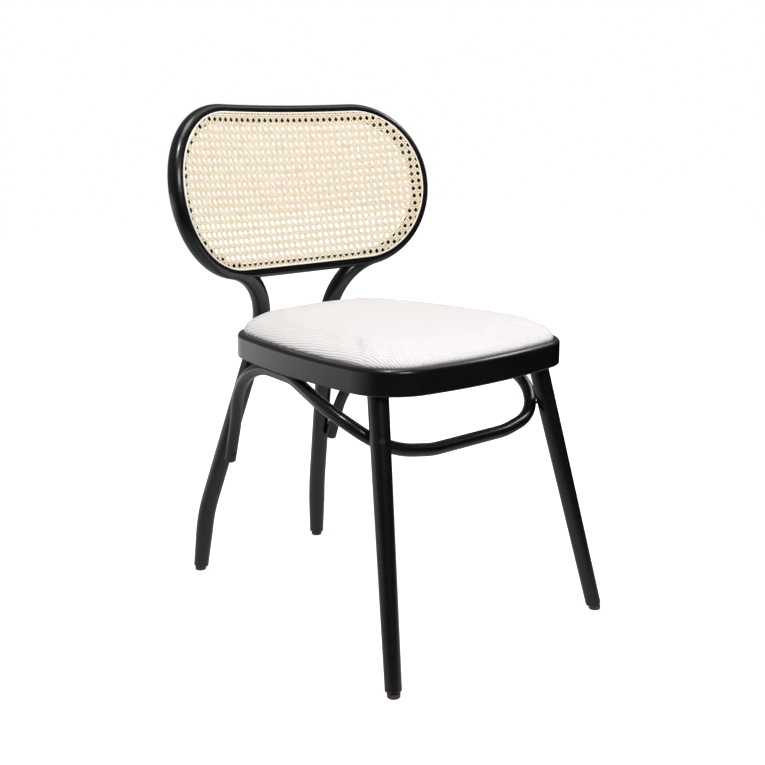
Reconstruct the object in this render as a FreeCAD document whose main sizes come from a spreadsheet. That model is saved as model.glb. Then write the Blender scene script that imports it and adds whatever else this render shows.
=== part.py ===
"""Bentwood bistro chair with a caned back loop and a drop-in upholstered seat.

Frame: millimetres, +Z up, origin on the floor under the middle of the chair.
The chair faces -Y, so the sitter's right-hand side is -X and left-hand side is +X.
"""
import FreeCAD, Part
import math
import os
from FreeCAD import Placement, Rotation, Vector

doc = FreeCAD.newDocument("bistro_chair")
sheet = doc.addObject("Spreadsheet::Sheet", "sizes")

SIZES = (
    ("fit_gap", 0.15, "glue and assembly gap round wood joints"),
    ("screw_gap", 0.1, "gap round screws, bolts and nails in their holes"),
    ("rod_diameter", 29.5, "bent rod of rear legs, posts and back loop"),
    ("loop_half_width", 261, "middle of the back loop to its rod's centre, along the bend"),
    ("loop_half_height", 124, "middle of the back loop to its rod's centre, upwards"),
    ("loop_middle_back", 188, "middle of the back loop behind the origin"),
    ("loop_middle_height", 663.5, "middle of the back loop above the floor"),
    ("back_tilt", 10.2, "lean of the back loop in degrees"),
    ("back_bend", 740, "radius that the back loop is bent to round the sitter"),
    ("front_flat", 2.2, "depth of the flat planed on the loop's front"),
    ("shoulder_side", 70, "corner between post and loop, sideways"),
    ("shoulder_drop", 13.5, "corner between post and loop, below the loop's lowest centre line"),
    ("shoulder_setback", 5, "corner between post and loop, behind the loop's surface"),
    ("shoulder_bend", 103, "bend radius from post to loop"),
    ("loop_entry", 9, "heading of the rod where it enters the loop, degrees above level"),
    ("hip_side", 75, "bend at seat level, sideways"),
    ("hip_back", 187, "bend at seat level, behind the origin"),
    ("hip_height", 432.5, "bend at seat level, above the floor"),
    ("hip_bend", 200, "bend radius at seat level"),
    ("shin_side", 126.7, "bend above the rear foot, sideways"),
    ("shin_back", 281, "bend above the rear foot, behind the origin"),
    ("shin_height", 108, "bend above the rear foot, above the floor"),
    ("shin_bend", 300, "bend radius above the rear foot"),
    ("rear_foot_side", 134.5, "rear leg's axis at the floor, sideways"),
    ("rear_foot_back", 292.8, "rear leg's axis at the floor, behind the origin"),
    ("rear_foot_diameter", 25.5, "rear leg at its foot"),
    ("rear_taper_height", 72, "height where the rear leg starts to taper"),
    ("foot_bevel", 2, "rounding of the leg ends"),
    ("rail_diameter", 24, "lower back rail"),
    ("rail_drop", 3, "lower back rail's centre line below the loop's"),
    ("rail_reach", 136, "half length of the lower back rail before it is coped"),
    ("dowel_diameter", 8, "dowel between rail and loop"),
    ("dowel_length", 34, "dowel between rail and loop"),
    ("dowel_side", 110, "middle of the dowel, sideways"),
    ("cane_thickness", 1.6, "woven cane sheet"),
    ("opening_columns", 12, "plain openings that stand for the weave's holes, in a row"),
    ("opening_rows", 6, "rows of those openings"),
    ("opening_width", 22, "one of those openings, both ways"),
    ("opening_margin", 3, "least cane between an opening and the sheet's edge"),
    ("spline_diameter", 4.4, "round reed that holds the cane in its groove"),
    ("spline_proud", 1.2, "how far the reed's crest stands over the flat"),
    ("reed_gap", 0.6, "room beside and under the reed for glue"),
    ("ring_bottom", 409, "underside of the seat ring above the floor"),
    ("ring_height", 39, "seat ring, upwards"),
    ("ring_width", 34, "seat ring, inwards"),
    ("ring_lip", 12.6, "part of the ring's top that stays in sight round the cushion"),
    ("rabbet_depth", 11, "step in the ring that takes the seat pad"),
    ("ring_top_round", 7, "rounding of the ring's outer top edge"),
    ("ring_edge_round", 2.5, "rounding of the ring's other outer edge"),
    ("seat_rear", 178.5, "rear edge of the seat ring behind the origin"),
    ("rear_arc", 685, "radius of the ring's rear edge"),
    ("rear_arc_turn", 8.9, "degrees of the rear edge on each side"),
    ("rear_corner", 75, "radius of the ring's rear corners"),
    ("rear_corner_turn", 75, "degrees from straight back to the end of a rear corner"),
    ("side_arc", 1136, "radius of the ring's sides"),
    ("side_arc_turn", 90.3, "degrees from straight back to the end of a side"),
    ("front_corner", 82, "radius of the ring's front corners"),
    ("front_corner_turn", 169.9, "degrees from straight back to the end of a front corner"),
    ("leg_bearing", 113, "degrees from straight back to a front leg, about its ring corner"),
    ("leg_inset", 29, "front leg's axis at the ring, inside the ring's edge"),
    ("leg_splay_side", 7.65, "front leg's lean outwards in degrees"),
    ("leg_splay_front", 12.4, "front leg's lean forwards in degrees"),
    ("leg_top_diameter", 31, "front leg under the ring"),
    ("leg_foot_diameter", 24.5, "front leg at its foot"),
    ("tenon_diameter", 21, "tenon on the front leg"),
    ("tenon_length", 24, "tenon on the front leg"),
    ("block_reach", 46, "corner block, round the leg's axis"),
    ("block_height", 26, "corner block, upwards"),
    ("brace_diameter", 19.8, "bent brace rod"),
    ("brace_end_height", 209, "lower ends of the brace on the rear legs"),
    ("brace_end_side", 3, "brace end beside the rear leg's axis, outwards"),
    ("brace_rise_height", 278, "brace above its end, where it leaves the rear leg"),
    ("brace_rise_side", 17, "brace at that height beside the rear leg's axis"),
    ("brace_rise_front", 28.5, "brace at that height in front of the rear leg's axis"),
    ("arch_start_side", 137, "brace on its way up to the ring, sideways"),
    ("arch_start_back", 162, "brace on its way up to the ring, behind the origin"),
    ("arch_start_drop", 43, "brace on its way up to the ring, below the ring"),
    ("arch_rear_back", 83, "rear of the brace's run under the ring, behind the origin"),
    ("arch_front_back", -15, "front of the brace's run under the ring, behind the origin"),
    ("arch_inset", 24, "brace's run under the ring, inside the ring's edge"),
    ("knee_side", 210, "brace corner above the front leg, sideways"),
    ("knee_back", -143, "brace corner above the front leg, behind the origin"),
    ("knee_drop", 32, "brace corner above the front leg, below the ring"),
    ("heel_side", 161.5, "brace corner behind the front leg, sideways"),
    ("heel_back", -213, "brace corner behind the front leg, behind the origin"),
    ("heel_drop", 84.5, "brace corner behind the front leg, below the ring"),
    ("bow_side", 80, "end of the brace's straight front, sideways"),
    ("bow_back", -221.5, "brace's straight front, behind the origin"),
    ("bow_drop", 96.5, "brace's straight front, below the ring"),
    ("brace_bend", 160, "largest bend radius in the brace"),
    ("board_thickness", 9, "plywood board of the seat pad"),
    ("cover_thickness", 1, "seat cover cloth"),
    ("soft_gap", 0.3, "gap between soft pieces and their neighbours"),
    ("hem_width", 18, "cloth turned under the board"),
    ("brace_end_round", 4, "rounding of the brace's ends"),
    ("crown_height", 39, "seat cushion over the ring's top"),
    ("crown_middle_back", -58, "highest point of the cushion behind the origin"),
    ("glide_diameter", 19, "foot glide"),
    ("glide_height", 7, "foot glide"),
    ("glide_round", 1.2, "rounding of the glide's lower edge"),
    ("nail_diameter", 2.6, "glide nail"),
    ("nail_head_diameter", 9, "glide nail's head"),
    ("nail_head_height", 1.2, "glide nail's head"),
    ("nail_length", 22, "glide nail above its head"),
    ("bolt_diameter", 6, "bolts through rear legs and ring"),
    ("bolt_height", 14, "bolts above the ring's underside"),
    ("bolt_head_diameter", 15, "domed bolt head"),
    ("bolt_head_height", 3.5, "domed bolt head"),
    ("washer_diameter", 16, "bolt washers"),
    ("washer_thickness", 1.6, "bolt washers"),
    ("spot_face", 1.4, "depth of the flat cut for the washers in the ring's inside"),
    ("nut_width", 10, "bolt nuts across flats"),
    ("nut_height", 5, "bolt nuts"),
    ("bolt_tail", 3, "bolt standing out of its nut"),
    ("screw_diameter", 4.5, "wood screws"),
    ("screw_head_diameter", 8.5, "wood screw heads"),
    ("screw_head_height", 3, "wood screw heads"),
    ("screw_sink", 1, "depth of the screw heads below the wood"),
    ("brace_end_screw_rise", 18, "screw above the brace's lower end"),
    ("brace_end_screw_length", 34, "screw from brace into rear leg"),
    ("brace_leg_screw_length", 38, "screw from front leg into brace"),
    ("brace_ring_screw_length", 38, "screw from brace into ring"),
    ("leg_screw_length", 46, "screw through corner block into tenon"),
    ("pad_screw_length", 33, "screw from ring into seat board"),
)

for row, (alias, number, note) in enumerate(SIZES, start=1):
    sheet.set(f"A{row}", alias)
    sheet.set(f"B{row}", str(number))
    sheet.setAlias(f"B{row}", alias)
    sheet.set(f"C{row}", note)
doc.recompute()

nodes = {}


def size(alias):
    """Read one driving dimension from the sheet."""
    return float(sheet.get(alias))


def keep(name, item):
    """Name a finished sub-part after its piece and remember it for writing."""
    item.Label = name
    nodes[name] = item
    return item


def feature(name, shape):
    """Put a computed shape into the document."""
    item = doc.addObject("Part::Feature", name)
    item.Shape = shape
    return item


def less(name, base, tools):
    """Cut document objects out of another, one after the other."""
    for i, tool in enumerate(tools, start=1):
        cut = doc.addObject("Part::Cut", f"{name}_cut_{i}")
        cut.Base = base
        cut.Tool = tool
        cut.Refine = False
        base = cut
    return base


def carved(name, base, tools):
    """Cut tools out of a piece one after the other, for the grazing cuts along the bent loop."""
    doc.recompute()
    shape = base.Shape
    for tool in tools:
        shape = shape.cut(tool.Shape)
    return feature(name, shape)


def turned_to(position, direction):
    """Placement that stands a piece made along +Z at a point, along a direction."""
    return Placement(position, Rotation(Vector(0, 0, 1), direction))


def mirrored(point):
    """The same point on the other side of the chair."""
    return Vector(-point.x, point.y, point.z)


def rounded_edges(corners, radii):
    """Straight runs between corners, joined by tangent arcs that never outgrow their runs."""
    count = len(corners)
    reach = [0.0] * count
    toward = [(corners[i + 1] - corners[i]).normalize() for i in range(count - 1)]
    for i in range(1, count - 1):
        turn = toward[i - 1].getAngle(toward[i])
        reach[i] = radii[i] * math.tan(turn / 2)
    run_share = 0.998
    for i in range(count - 1):
        run = (corners[i + 1] - corners[i]).Length * run_share
        wanted = reach[i] + reach[i + 1]
        if wanted > run:
            reach[i] *= run / wanted
            reach[i + 1] *= run / wanted
    edges = []
    start = corners[0]
    for i in range(1, count - 1):
        enter = corners[i] - toward[i - 1] * reach[i]
        leave = corners[i] + toward[i] * reach[i]
        turn = toward[i - 1].getAngle(toward[i])
        if turn < 1e-6:
            continue
        radius = reach[i] / math.tan(turn / 2)
        inward = (toward[i] - toward[i - 1]).normalize()
        depth = radius / math.cos(turn / 2) - radius
        edges.append(Part.LineSegment(start, enter).toShape())
        edges.append(Part.Arc(enter, corners[i] + inward * depth, leave).toShape())
        start = leave
    edges.append(Part.LineSegment(start, corners[-1]).toShape())
    return edges


def rounded_loop(corners, radii):
    """The closed form of rounded_edges, started in the middle of the last run."""
    middle = (corners[-1] + corners[0]) / 2
    return rounded_edges([middle] + corners + [middle], [0] + radii + [0])


def sweep(name, edges, diameter):
    """Round rod of one diameter along a path; diameter is an expression on the sheet."""
    path = feature(name + "_path", Part.Wire(edges))
    start = edges[0].valueAt(edges[0].FirstParameter)
    heading = edges[0].tangentAt(edges[0].FirstParameter)
    section = doc.addObject("Part::Circle", name + "_section")
    section.setExpression("Radius", f"({diameter}) / 2")
    section.Placement = turned_to(start, heading)
    rod = doc.addObject("Part::Sweep", name)
    rod.Sections = [section]
    rod.Spine = path
    rod.Solid = True
    rod.Frenet = False
    return rod


def cylinder(name, position, direction, diameter, length):
    """Cylinder from a point along a direction; diameter and length are expressions."""
    item = doc.addObject("Part::Cylinder", name)
    item.setExpression("Radius", f"({diameter}) / 2")
    item.setExpression("Height", length)
    item.Placement = turned_to(position, direction)
    return item


def origin_plane(body, role):
    """One of a body's own origin planes."""
    return next(part for part in body.Origin.OriginFeatures if part.Role == role)


def sketch_on(body, name, role, height=None):
    """Sketch on an origin plane of its body, raised by an expression on the sheet."""
    sketch = body.newObject("Sketcher::SketchObject", name)
    sketch.AttachmentSupport = [(origin_plane(body, role), "")]
    sketch.MapMode = "FlatFace"
    if height is not None:
        sketch.setExpression(".AttachmentOffset.Base.z", height)
    return sketch


def pad(body, name, geometry, bottom, height):
    """Pad sketch geometry upwards; bottom and height are expressions on the sheet."""
    sketch = sketch_on(body, name + "_sketch", "XY_Plane", bottom)
    sketch.addGeometry(geometry, False)
    block = body.newObject("PartDesign::Pad", name)
    block.Profile = sketch
    block.setExpression("Length", height)
    return block


def pocket(body, name, geometry, top, depth):
    """Cut sketch geometry downwards from a height; both are expressions on the sheet."""
    before = body.Shape.Volume
    sketch = sketch_on(body, name + "_sketch", "XY_Plane", top)
    sketch.addGeometry(geometry, False)
    hole = body.newObject("PartDesign::Pocket", name)
    hole.Profile = sketch
    hole.setExpression("Length", depth)
    doc.recompute()
    if not body.Shape.Volume < before:
        raise RuntimeError(name + " cuts nothing")
    return hole


def turned_body(name, profile):
    """Body turned about its Z axis from (radius, height) points in order."""
    body = doc.addObject("PartDesign::Body", name)
    sketch = sketch_on(body, name + "_profile", "XZ_Plane")
    points = [Vector(radius, height, 0) for radius, height in profile]
    for first, second in zip(points, points[1:] + points[:1]):
        sketch.addGeometry(Part.LineSegment(first, second), False)
    turning = body.newObject("PartDesign::Revolution", name + "_turning")
    turning.Profile = sketch
    turning.ReferenceAxis = (sketch, ["V_Axis"])
    turning.Angle = 360
    return body


def turned_shape(profile):
    """Solid turned about Z from (radius, height) points, for fasteners made in numbers."""
    points = [Vector(radius, 0, height) for radius, height in profile]
    outline = Part.Face(Part.makePolygon(points + points[:1]))
    return outline.revolve(Vector(0, 0, 0), Vector(0, 0, 1), 360)


def placed(shape, position, direction):
    """Copy of a shape made along +Z, stood at a point along a direction."""
    copy = shape.copy()
    copy.Placement = turned_to(position, direction)
    return copy


# Back loop geometry: a tilted frame whose surface is bent round the sitter.

def on_loop(across, up, forward=0.0):
    """Point of the back: along its bend, up its lean and forward of its centre surface."""
    lean = math.radians(size("back_tilt"))
    bend = size("back_bend")
    turn = across / bend
    side = (bend - forward) * math.sin(turn)
    ahead = bend - (bend - forward) * math.cos(turn)
    return Vector(
        side,
        size("loop_middle_back") + up * math.sin(lean) - ahead * math.cos(lean),
        size("loop_middle_height") + up * math.cos(lean) + ahead * math.sin(lean),
    )


def round_end(inset, start, finish, bends):
    """Corners round the loop's +X end, between two headings in degrees from the +X direction."""
    bend = size("loop_half_height") - inset
    centre = size("loop_half_width") - size("loop_half_height")
    step = math.radians(finish - start) / bends
    reach = bend / math.cos(step / 2)
    angles = [math.radians(start - 90) + (k + 0.5) * step for k in range(bends)]
    return [(centre + reach * math.cos(a), reach * math.sin(a)) for a in angles]


def on_bend(flat_corners, forward):
    """Put flat corners on the bent surface, set back so that the rounded path lies on it.

    The first and last corner only tell how far the neighbours are and are left out.
    """
    corners = []
    for i in range(1, len(flat_corners) - 1):
        reach = (flat_corners[i + 1][0] - flat_corners[i - 1][0]) / 2
        across, up = flat_corners[i]
        corners.append(on_loop(across, up, forward - reach ** 2 / (8 * size("back_bend"))))
    return corners


def rod_radius():
    """Radius of the bent rod."""
    return size("rod_diameter") / 2


def shoulder():
    """Corner where the post turns into the loop, on the +X side."""
    drop = size("loop_half_height") + size("shoulder_drop")
    return on_loop(size("shoulder_side"), -drop, -size("shoulder_setback"))


def hoop_corners():
    """Corners and radii of the hoop from the +X foot over the top to the -X foot."""
    bend = size("loop_half_height")
    leg = [
        Vector(size("rear_foot_side"), size("rear_foot_back"), 0),
        Vector(size("shin_side"), size("shin_back"), size("shin_height")),
        Vector(size("hip_side"), size("hip_back"), size("hip_height")),
        shoulder(),
    ]
    lower = round_end(0, size("loop_entry"), 90, 4)
    upper = round_end(0, 90, 180, 4)
    top = [(upper[-1][0] * step / 3, bend) for step in (2, 1, 0, -1)]
    loop = on_bend([(size("shoulder_side"), 0)] + lower + upper + top, 0)
    side = leg + loop[:-1]
    radii = [0, size("shin_bend"), size("hip_bend"), size("shoulder_bend")]
    radii += [bend] * 8 + [size("back_bend")] * 2
    corners = side + loop[-1:] + [mirrored(point) for point in reversed(side)]
    return corners, radii + [size("back_bend")] + radii[::-1]


def stadium(inset):
    """Flat corners (along the bend, upwards) and radii of a loop inside the rod's centre line."""
    bend = size("loop_half_height") - inset
    end = round_end(inset, 0, 180, 8)
    top = [(end[-1][0] * step / 3, bend) for step in (2, 1, 0, -1, -2)]
    half = end + top
    radii = [bend] * len(end) + [size("back_bend")] * len(top)
    return half + [(-across, -up) for across, up in half], radii + radii


def flat_forward():
    """Distance from the loop's centre surface to the flat on its front."""
    return rod_radius() - size("front_flat")


def bend_frame():
    """Middle of the loop, its upward direction and its forward direction."""
    lean = math.radians(size("back_tilt"))
    middle = Vector(0, size("loop_middle_back"), size("loop_middle_height"))
    return middle, Vector(0, math.sin(lean), math.cos(lean)), Vector(0, -math.cos(lean), math.sin(lean))


def space_ahead(name, forward):
    """All the space in front of the bent surface at a distance forward of its centre."""
    middle, upward, ahead = bend_frame()
    reach = size("loop_half_height") + 3 * size("rod_diameter")
    item = doc.addObject("Part::Cylinder", name)
    item.Radius = size("back_bend") - forward
    item.Height = 2 * reach
    item.Placement = turned_to(middle + ahead * size("back_bend") - upward * reach, upward)
    return item


def spline_edges():
    """Centre line of the reed, over the middle of the rod."""
    forward = flat_forward() + size("spline_proud") - size("spline_diameter") / 2
    corners, radii = stadium(0)
    return rounded_loop(on_bend(corners[-1:] + corners + corners[:1], forward), radii)


# Seat outline: five arcs on each side, each tangent to the next.

def seat_arcs(inset, scale=1.0):
    """Arcs of the seat outline moved in by an inset, then drawn in about the crown."""
    bounds = [0, size("rear_arc_turn"), size("rear_corner_turn"), size("side_arc_turn")]
    bounds += [size("front_corner_turn"), 180]
    radii = [size("rear_arc"), size("rear_corner"), size("side_arc"), size("front_corner")]

    def bearing(degrees):
        return Vector(math.sin(math.radians(degrees)), math.cos(math.radians(degrees)), 0)

    centres = [Vector(0, size("seat_rear") - radii[0], 0)]
    for i in range(1, len(radii)):
        centres.append(centres[-1] + bearing(bounds[i]) * (radii[i - 1] - radii[i]))
    front_reach = centres[-1].x / math.sin(math.radians(180 - bounds[4]))
    radii.append(radii[-1] + front_reach)
    centres.append(centres[-1] - bearing(bounds[4]) * front_reach)

    crown = Vector(0, size("crown_middle_back"), 0)

    def drawn_in(point):
        return crown + (point - crown) * scale

    right = []
    for i, radius in enumerate(radii):
        angles = (bounds[i], (bounds[i] + bounds[i + 1]) / 2, bounds[i + 1])
        right.append([drawn_in(centres[i] + bearing(a) * (radius - inset)) for a in angles])
    left = [[mirrored(point) for point in reversed(arc)] for arc in reversed(right)]
    return right + left


def seat_geometry(inset):
    """Seat outline as sketch arcs, each drawn anticlockwise."""
    return [Part.Arc(*reversed(arc)) for arc in seat_arcs(inset)]


def seat_wire(inset, height, scale=1.0):
    """Seat outline as a wire at a height."""
    lift = Vector(0, 0, height)
    arcs = [[point + lift for point in arc] for arc in seat_arcs(inset, scale)]
    return Part.Wire([Part.Arc(*arc).toShape() for arc in arcs])


def outline_circle(index):
    """Circle of one of the seat outline's arcs on the +X side, counted from the rear."""
    return Part.Arc(*seat_arcs(0)[index]).toShape().Curve


def front_corner_middle():
    """Centre of the ring's front corner on the +X side."""
    middle = outline_circle(3).Center
    return Vector(middle.x, middle.y, size("ring_bottom"))


def ring_side(back):
    """Half width of the seat ring at a place between its corners."""
    circle = outline_circle(2)
    return circle.Center.x + math.sqrt(circle.Radius ** 2 - (back - circle.Center.y) ** 2)


def ring_rear(side):
    """Rear edge of the seat ring at a place beside the middle."""
    return size("seat_rear") - size("rear_arc") + math.sqrt(size("rear_arc") ** 2 - side ** 2)


def leg_axis():
    """Top of a front leg's axis at the ring's underside and its direction down, +X side."""
    angle = math.radians(size("leg_bearing"))
    reach = size("front_corner") - size("leg_inset")
    top = front_corner_middle() + Vector(math.sin(angle), math.cos(angle), 0) * reach
    splay_side = math.tan(math.radians(size("leg_splay_side")))
    splay_front = math.tan(math.radians(size("leg_splay_front")))
    return top, Vector(splay_side, -splay_front, -1)


def leg_point(height):
    """Point of a front leg's axis at a height, +X side."""
    top, slope = leg_axis()
    return top + slope * (top.z - height)


def leg_radius(height):
    """Radius of a front leg at a height."""
    share = (size("ring_bottom") - height) / size("ring_bottom")
    return (size("leg_top_diameter") * (1 - share) + size("leg_foot_diameter") * share) / 2


def rear_leg_point(height):
    """Point of a rear leg's axis between its two bends, +X side."""
    low = Vector(size("shin_side"), size("shin_back"), size("shin_height"))
    high = Vector(size("hip_side"), size("hip_back"), size("hip_height"))
    return low + (high - low) * ((height - low.z) / (high.z - low.z))


def brace_corners():
    """Corners and radii of the brace, from the +X rear leg round the front to the -X one."""
    ring_bottom = size("ring_bottom")
    under_ring = ring_bottom - size("brace_diameter") / 2 - size("fit_gap")
    low = Vector(size("shin_side"), size("shin_back"), size("shin_height"))
    high = Vector(size("hip_side"), size("hip_back"), size("hip_height"))
    steepness = (high.z - low.z) / (high - low).Length
    contact = (size("rod_diameter") + size("brace_diameter")) / 2 + size("fit_gap")
    end_front = contact / steepness
    rear_end = rear_leg_point(size("brace_end_height"))
    rise = rear_leg_point(size("brace_rise_height"))
    arches = [
        Vector(ring_side(back) - size("arch_inset"), back, under_ring)
        for back in (size("arch_rear_back"), size("arch_front_back"))
    ]
    side = [
        rear_end + Vector(size("brace_end_side"), -end_front, 0),
        rise + Vector(size("brace_rise_side"), -size("brace_rise_front"), 0),
        Vector(size("arch_start_side"), size("arch_start_back"), ring_bottom - size("arch_start_drop")),
        arches[0],
        arches[1],
        Vector(size("knee_side"), size("knee_back"), ring_bottom - size("knee_drop")),
        Vector(size("heel_side"), size("heel_back"), ring_bottom - size("heel_drop")),
        Vector(size("bow_side"), size("bow_back"), ring_bottom - size("bow_drop")),
    ]
    corners = side + [mirrored(point) for point in reversed(side)]
    return corners, [size("brace_bend")] * len(corners)


# Hoop, lower rail, cane and reed.

def screw_shape(length, gap=0.0):
    """Countersunk wood screw, or the hole for it when a gap is given; its head is at z = 0."""
    head = size("screw_head_diameter") / 2 + gap
    shank = size("screw_diameter") / 2 + gap
    top = size("screw_sink") + size("screw_gap") if gap else 0
    return turned_shape((
        (0, top),
        (head, top),
        (head, 0),
        (shank, -size("screw_head_height")),
        (shank, -length + shank),
        (0, -length - gap),
    ))


def screw_group(name, places, length):
    """Node of equal screws, and the tool that makes room for them."""
    screws = [placed(screw_shape(length), point, outward) for point, outward in places]
    holes = [placed(screw_shape(length, size("screw_gap")), point, outward) for point, outward in places]
    keep(name, feature(name, Part.makeCompound(screws)))
    return feature(name + "_holes", Part.makeCompound(holes))


def both_sides(point, direction):
    """A place and its mirror image."""
    return [(point, direction), (mirrored(point), mirrored(direction))]


def brace_end_screws():
    """Screws from the brace's lower ends into the rear legs."""
    height = size("brace_end_height") + size("brace_end_screw_rise")
    corners = brace_corners()[0]
    along = (corners[1] - corners[0]).normalize()
    middle = corners[0] + along * ((height - corners[0].z) / along.z)
    toward = rear_leg_point(height) - middle
    outward = (along * along.dot(toward) - toward).normalize()
    head = middle + outward * (size("brace_diameter") / 2 - size("screw_sink"))
    return screw_group("brace_rear_screws", both_sides(head, outward), size("brace_end_screw_length"))


def brace_touch():
    """Point of the brace's centre line nearest a front leg, and the way out to that leg."""
    top, slope = leg_axis()
    axis = Part.LineSegment(top, top + slope * size("ring_bottom")).toShape()
    path = Part.Wire(rounded_edges(*brace_corners()))
    on_path, on_axis = path.distToShape(axis)[1][0]
    return on_path, on_axis


def brace_leg_screws():
    """Screws from the outside of the front legs into the brace."""
    on_path, on_axis = brace_touch()
    outward = (on_axis - on_path).normalize()
    head = on_axis + outward * (leg_radius(on_axis.z) - size("screw_sink"))
    return screw_group("brace_leg_screws", both_sides(head, outward), size("brace_leg_screw_length"))


def brace_ring_screws():
    """Screws up through the brace into the seat ring."""
    corners = brace_corners()[0]
    middle = (corners[3] + corners[4]) / 2
    head = middle - Vector(0, 0, size("brace_diameter") / 2 - size("screw_sink"))
    return screw_group("brace_ring_screws", both_sides(head, Vector(0, 0, -1)), size("brace_ring_screw_length"))


def leg_tenon_screws():
    """Screws through the corner blocks into the front legs' tenons."""
    axis = leg_axis()[0]
    inward = (Vector(0, axis.y / 2, axis.z) - axis).normalize()
    level = Vector(0, 0, size("block_height") / 2)
    head = axis + level + inward * (size("block_reach") - size("screw_sink"))
    return screw_group("leg_tenon_screws", both_sides(head, inward), size("leg_screw_length"))


def pad_screw_places():
    """Heads of the screws that hold the seat pad, under the ring's step."""
    inset = (size("ring_lip") + size("ring_width")) / 2
    arcs = seat_arcs(inset)
    lift = Vector(0, 0, size("ring_bottom") + size("screw_sink"))
    rear = arcs[1][1] + lift
    front = arcs[4][1] + lift
    return both_sides(rear, Vector(0, 0, -1)) + both_sides(front, Vector(0, 0, -1))


def bolt_axis():
    """Rear bolt's point on the rod's centre line on the +X side; the bolt runs along Y."""
    height = size("ring_bottom") + size("bolt_height")
    path = Part.Wire(rounded_edges(*hoop_corners()))
    level = Part.makePlane(400, 400, Vector(0, 0, height))
    crossing = path.distToShape(level)[1][0][0]
    return Vector(crossing.x, crossing.y, height)


def rear_bolts():
    """Bolts, washers and nuts that clamp the rear legs to the ring; returns their holes."""
    centre = bolt_axis()
    backward = Vector(0, 1, 0)
    head_seat = centre + backward * (rod_radius() - size("bolt_head_height"))
    ring_inner = ring_rear(centre.x) - size("ring_width")
    washer_face = Vector(centre.x, ring_inner + size("spot_face"), centre.z)
    length = head_seat.y - washer_face.y + size("washer_thickness") + size("nut_height") + size("bolt_tail")
    shank = size("bolt_diameter") / 2
    head = size("bolt_head_diameter") / 2
    height = size("bolt_head_height")
    crown = (head * 0.55, height * 0.8)
    bolt = turned_shape(((0, height), crown, (head, 0), (shank, 0), (shank, -length), (0, -length)))
    keep("rear_leg_bolts", feature("rear_leg_bolts", Part.makeCompound(
        [placed(bolt, point, way) for point, way in both_sides(head_seat, backward)])))

    gap = size("screw_gap")
    inner = shank + gap
    outer = size("washer_diameter") / 2
    under = -size("washer_thickness")
    washer = turned_shape(((inner, 0), (outer, 0), (outer, under), (inner, under)))
    keep("bolt_washers", feature("bolt_washers", Part.makeCompound(
        [placed(washer, point, way) for point, way in both_sides(washer_face, backward)])))

    corner = size("nut_width") / math.sqrt(3)
    turns = [math.radians(60 * k) for k in range(7)]
    points = [Vector(corner * math.cos(turn), corner * math.sin(turn), 0) for turn in turns]
    blank = Part.Face(Part.makePolygon(points)).extrude(Vector(0, 0, -size("nut_height")))
    bore = Part.makeCylinder(inner, 3 * size("nut_height"), Vector(0, 0, -2 * size("nut_height")))
    nut = blank.cut(bore)
    nut_face = washer_face - backward * size("washer_thickness")
    keep("bolt_nuts", feature("bolt_nuts", Part.makeCompound(
        [placed(nut, point, way) for point, way in both_sides(nut_face, backward)])))

    wall = washer_face.y - head_seat.y
    hole = turned_shape((
        (0, 2 * height),
        (head + gap, 2 * height),
        (head + gap, 0),
        (inner, 0),
        (inner, wall),
        (outer + gap, wall),
        (outer + gap, -length),
        (0, -length),
    ))
    holes = [placed(hole, point, way) for point, way in both_sides(head_seat, backward)]
    return feature("rear_bolt_holes", Part.makeCompound(holes))


def make_glides():
    """Glides under the four feet and the nails in them; returns the nails' holes."""
    radius = size("glide_diameter") / 2
    height = size("glide_height")
    edge = size("glide_round")
    front = leg_point(0)
    feet = {
        "glide_front_left": Vector(front.x, front.y, 0),
        "glide_rear_left": Vector(size("rear_foot_side"), size("rear_foot_back"), 0),
    }
    for name in list(feet):
        feet[name.replace("left", "right")] = mirrored(feet[name])
    gap = size("screw_gap")
    shank = size("nail_diameter") / 2
    head = size("nail_head_diameter") / 2
    head_top = height / 2 + size("nail_head_height")

    def nail(room):
        return turned_shape((
            (0, height / 2 - room),
            (head + room, height / 2 - room),
            (head + room, head_top + room),
            (shank + room, head_top + room),
            (shank + room, head_top + size("nail_length")),
            (0, head_top + size("nail_length") + shank + room),
        ))

    tool_shape = Part.makeCompound([placed(nail(gap), point, Vector(0, 0, 1)) for point in feet.values()])
    holes = feature("nail_holes", tool_shape)
    profile = ((0, 0), (radius - edge, 0), (radius, edge), (radius, height), (0, height))
    for name, point in feet.items():
        disc = turned_body(name + "_disc", profile)
        disc.Placement = Placement(point, Rotation())
        keep(name, less(name, disc, [holes]))
    nails = [placed(nail(0), point, Vector(0, 0, 1)) for point in feet.values()]
    keep("glide_nails", feature("glide_nails", Part.makeCompound(nails)))
    return holes


def foot_taper():
    """What is turned off the rear legs near their feet to taper and bevel them."""
    low, high = hoop_corners()[0][:2]
    along = (high - low).normalize()
    end = size("glide_height") / along.z
    length = size("rear_taper_height") / along.z
    full = rod_radius()
    small = size("rear_foot_diameter") / 2
    bevel = size("foot_bevel")
    shaving = turned_shape((
        (small - bevel, -full),
        (small - bevel, end),
        (small, end + bevel),
        (full, length),
        (full + bevel, length),
        (full + bevel, -full),
    ))
    low_end = [(low, along), (mirrored(low), mirrored(along))]
    return feature("foot_taper", Part.makeCompound([placed(shaving, point, way) for point, way in low_end]))


def floor_block():
    """Block that takes off everything below the tops of the glides."""
    reach = 2 * size("rear_foot_back")
    block = doc.addObject("Part::Box", "floor_block")
    block.Length = block.Width = 2 * reach
    block.Height = reach + size("glide_height")
    block.Placement = Placement(Vector(-reach, -reach, -reach), Rotation())
    return block


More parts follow.
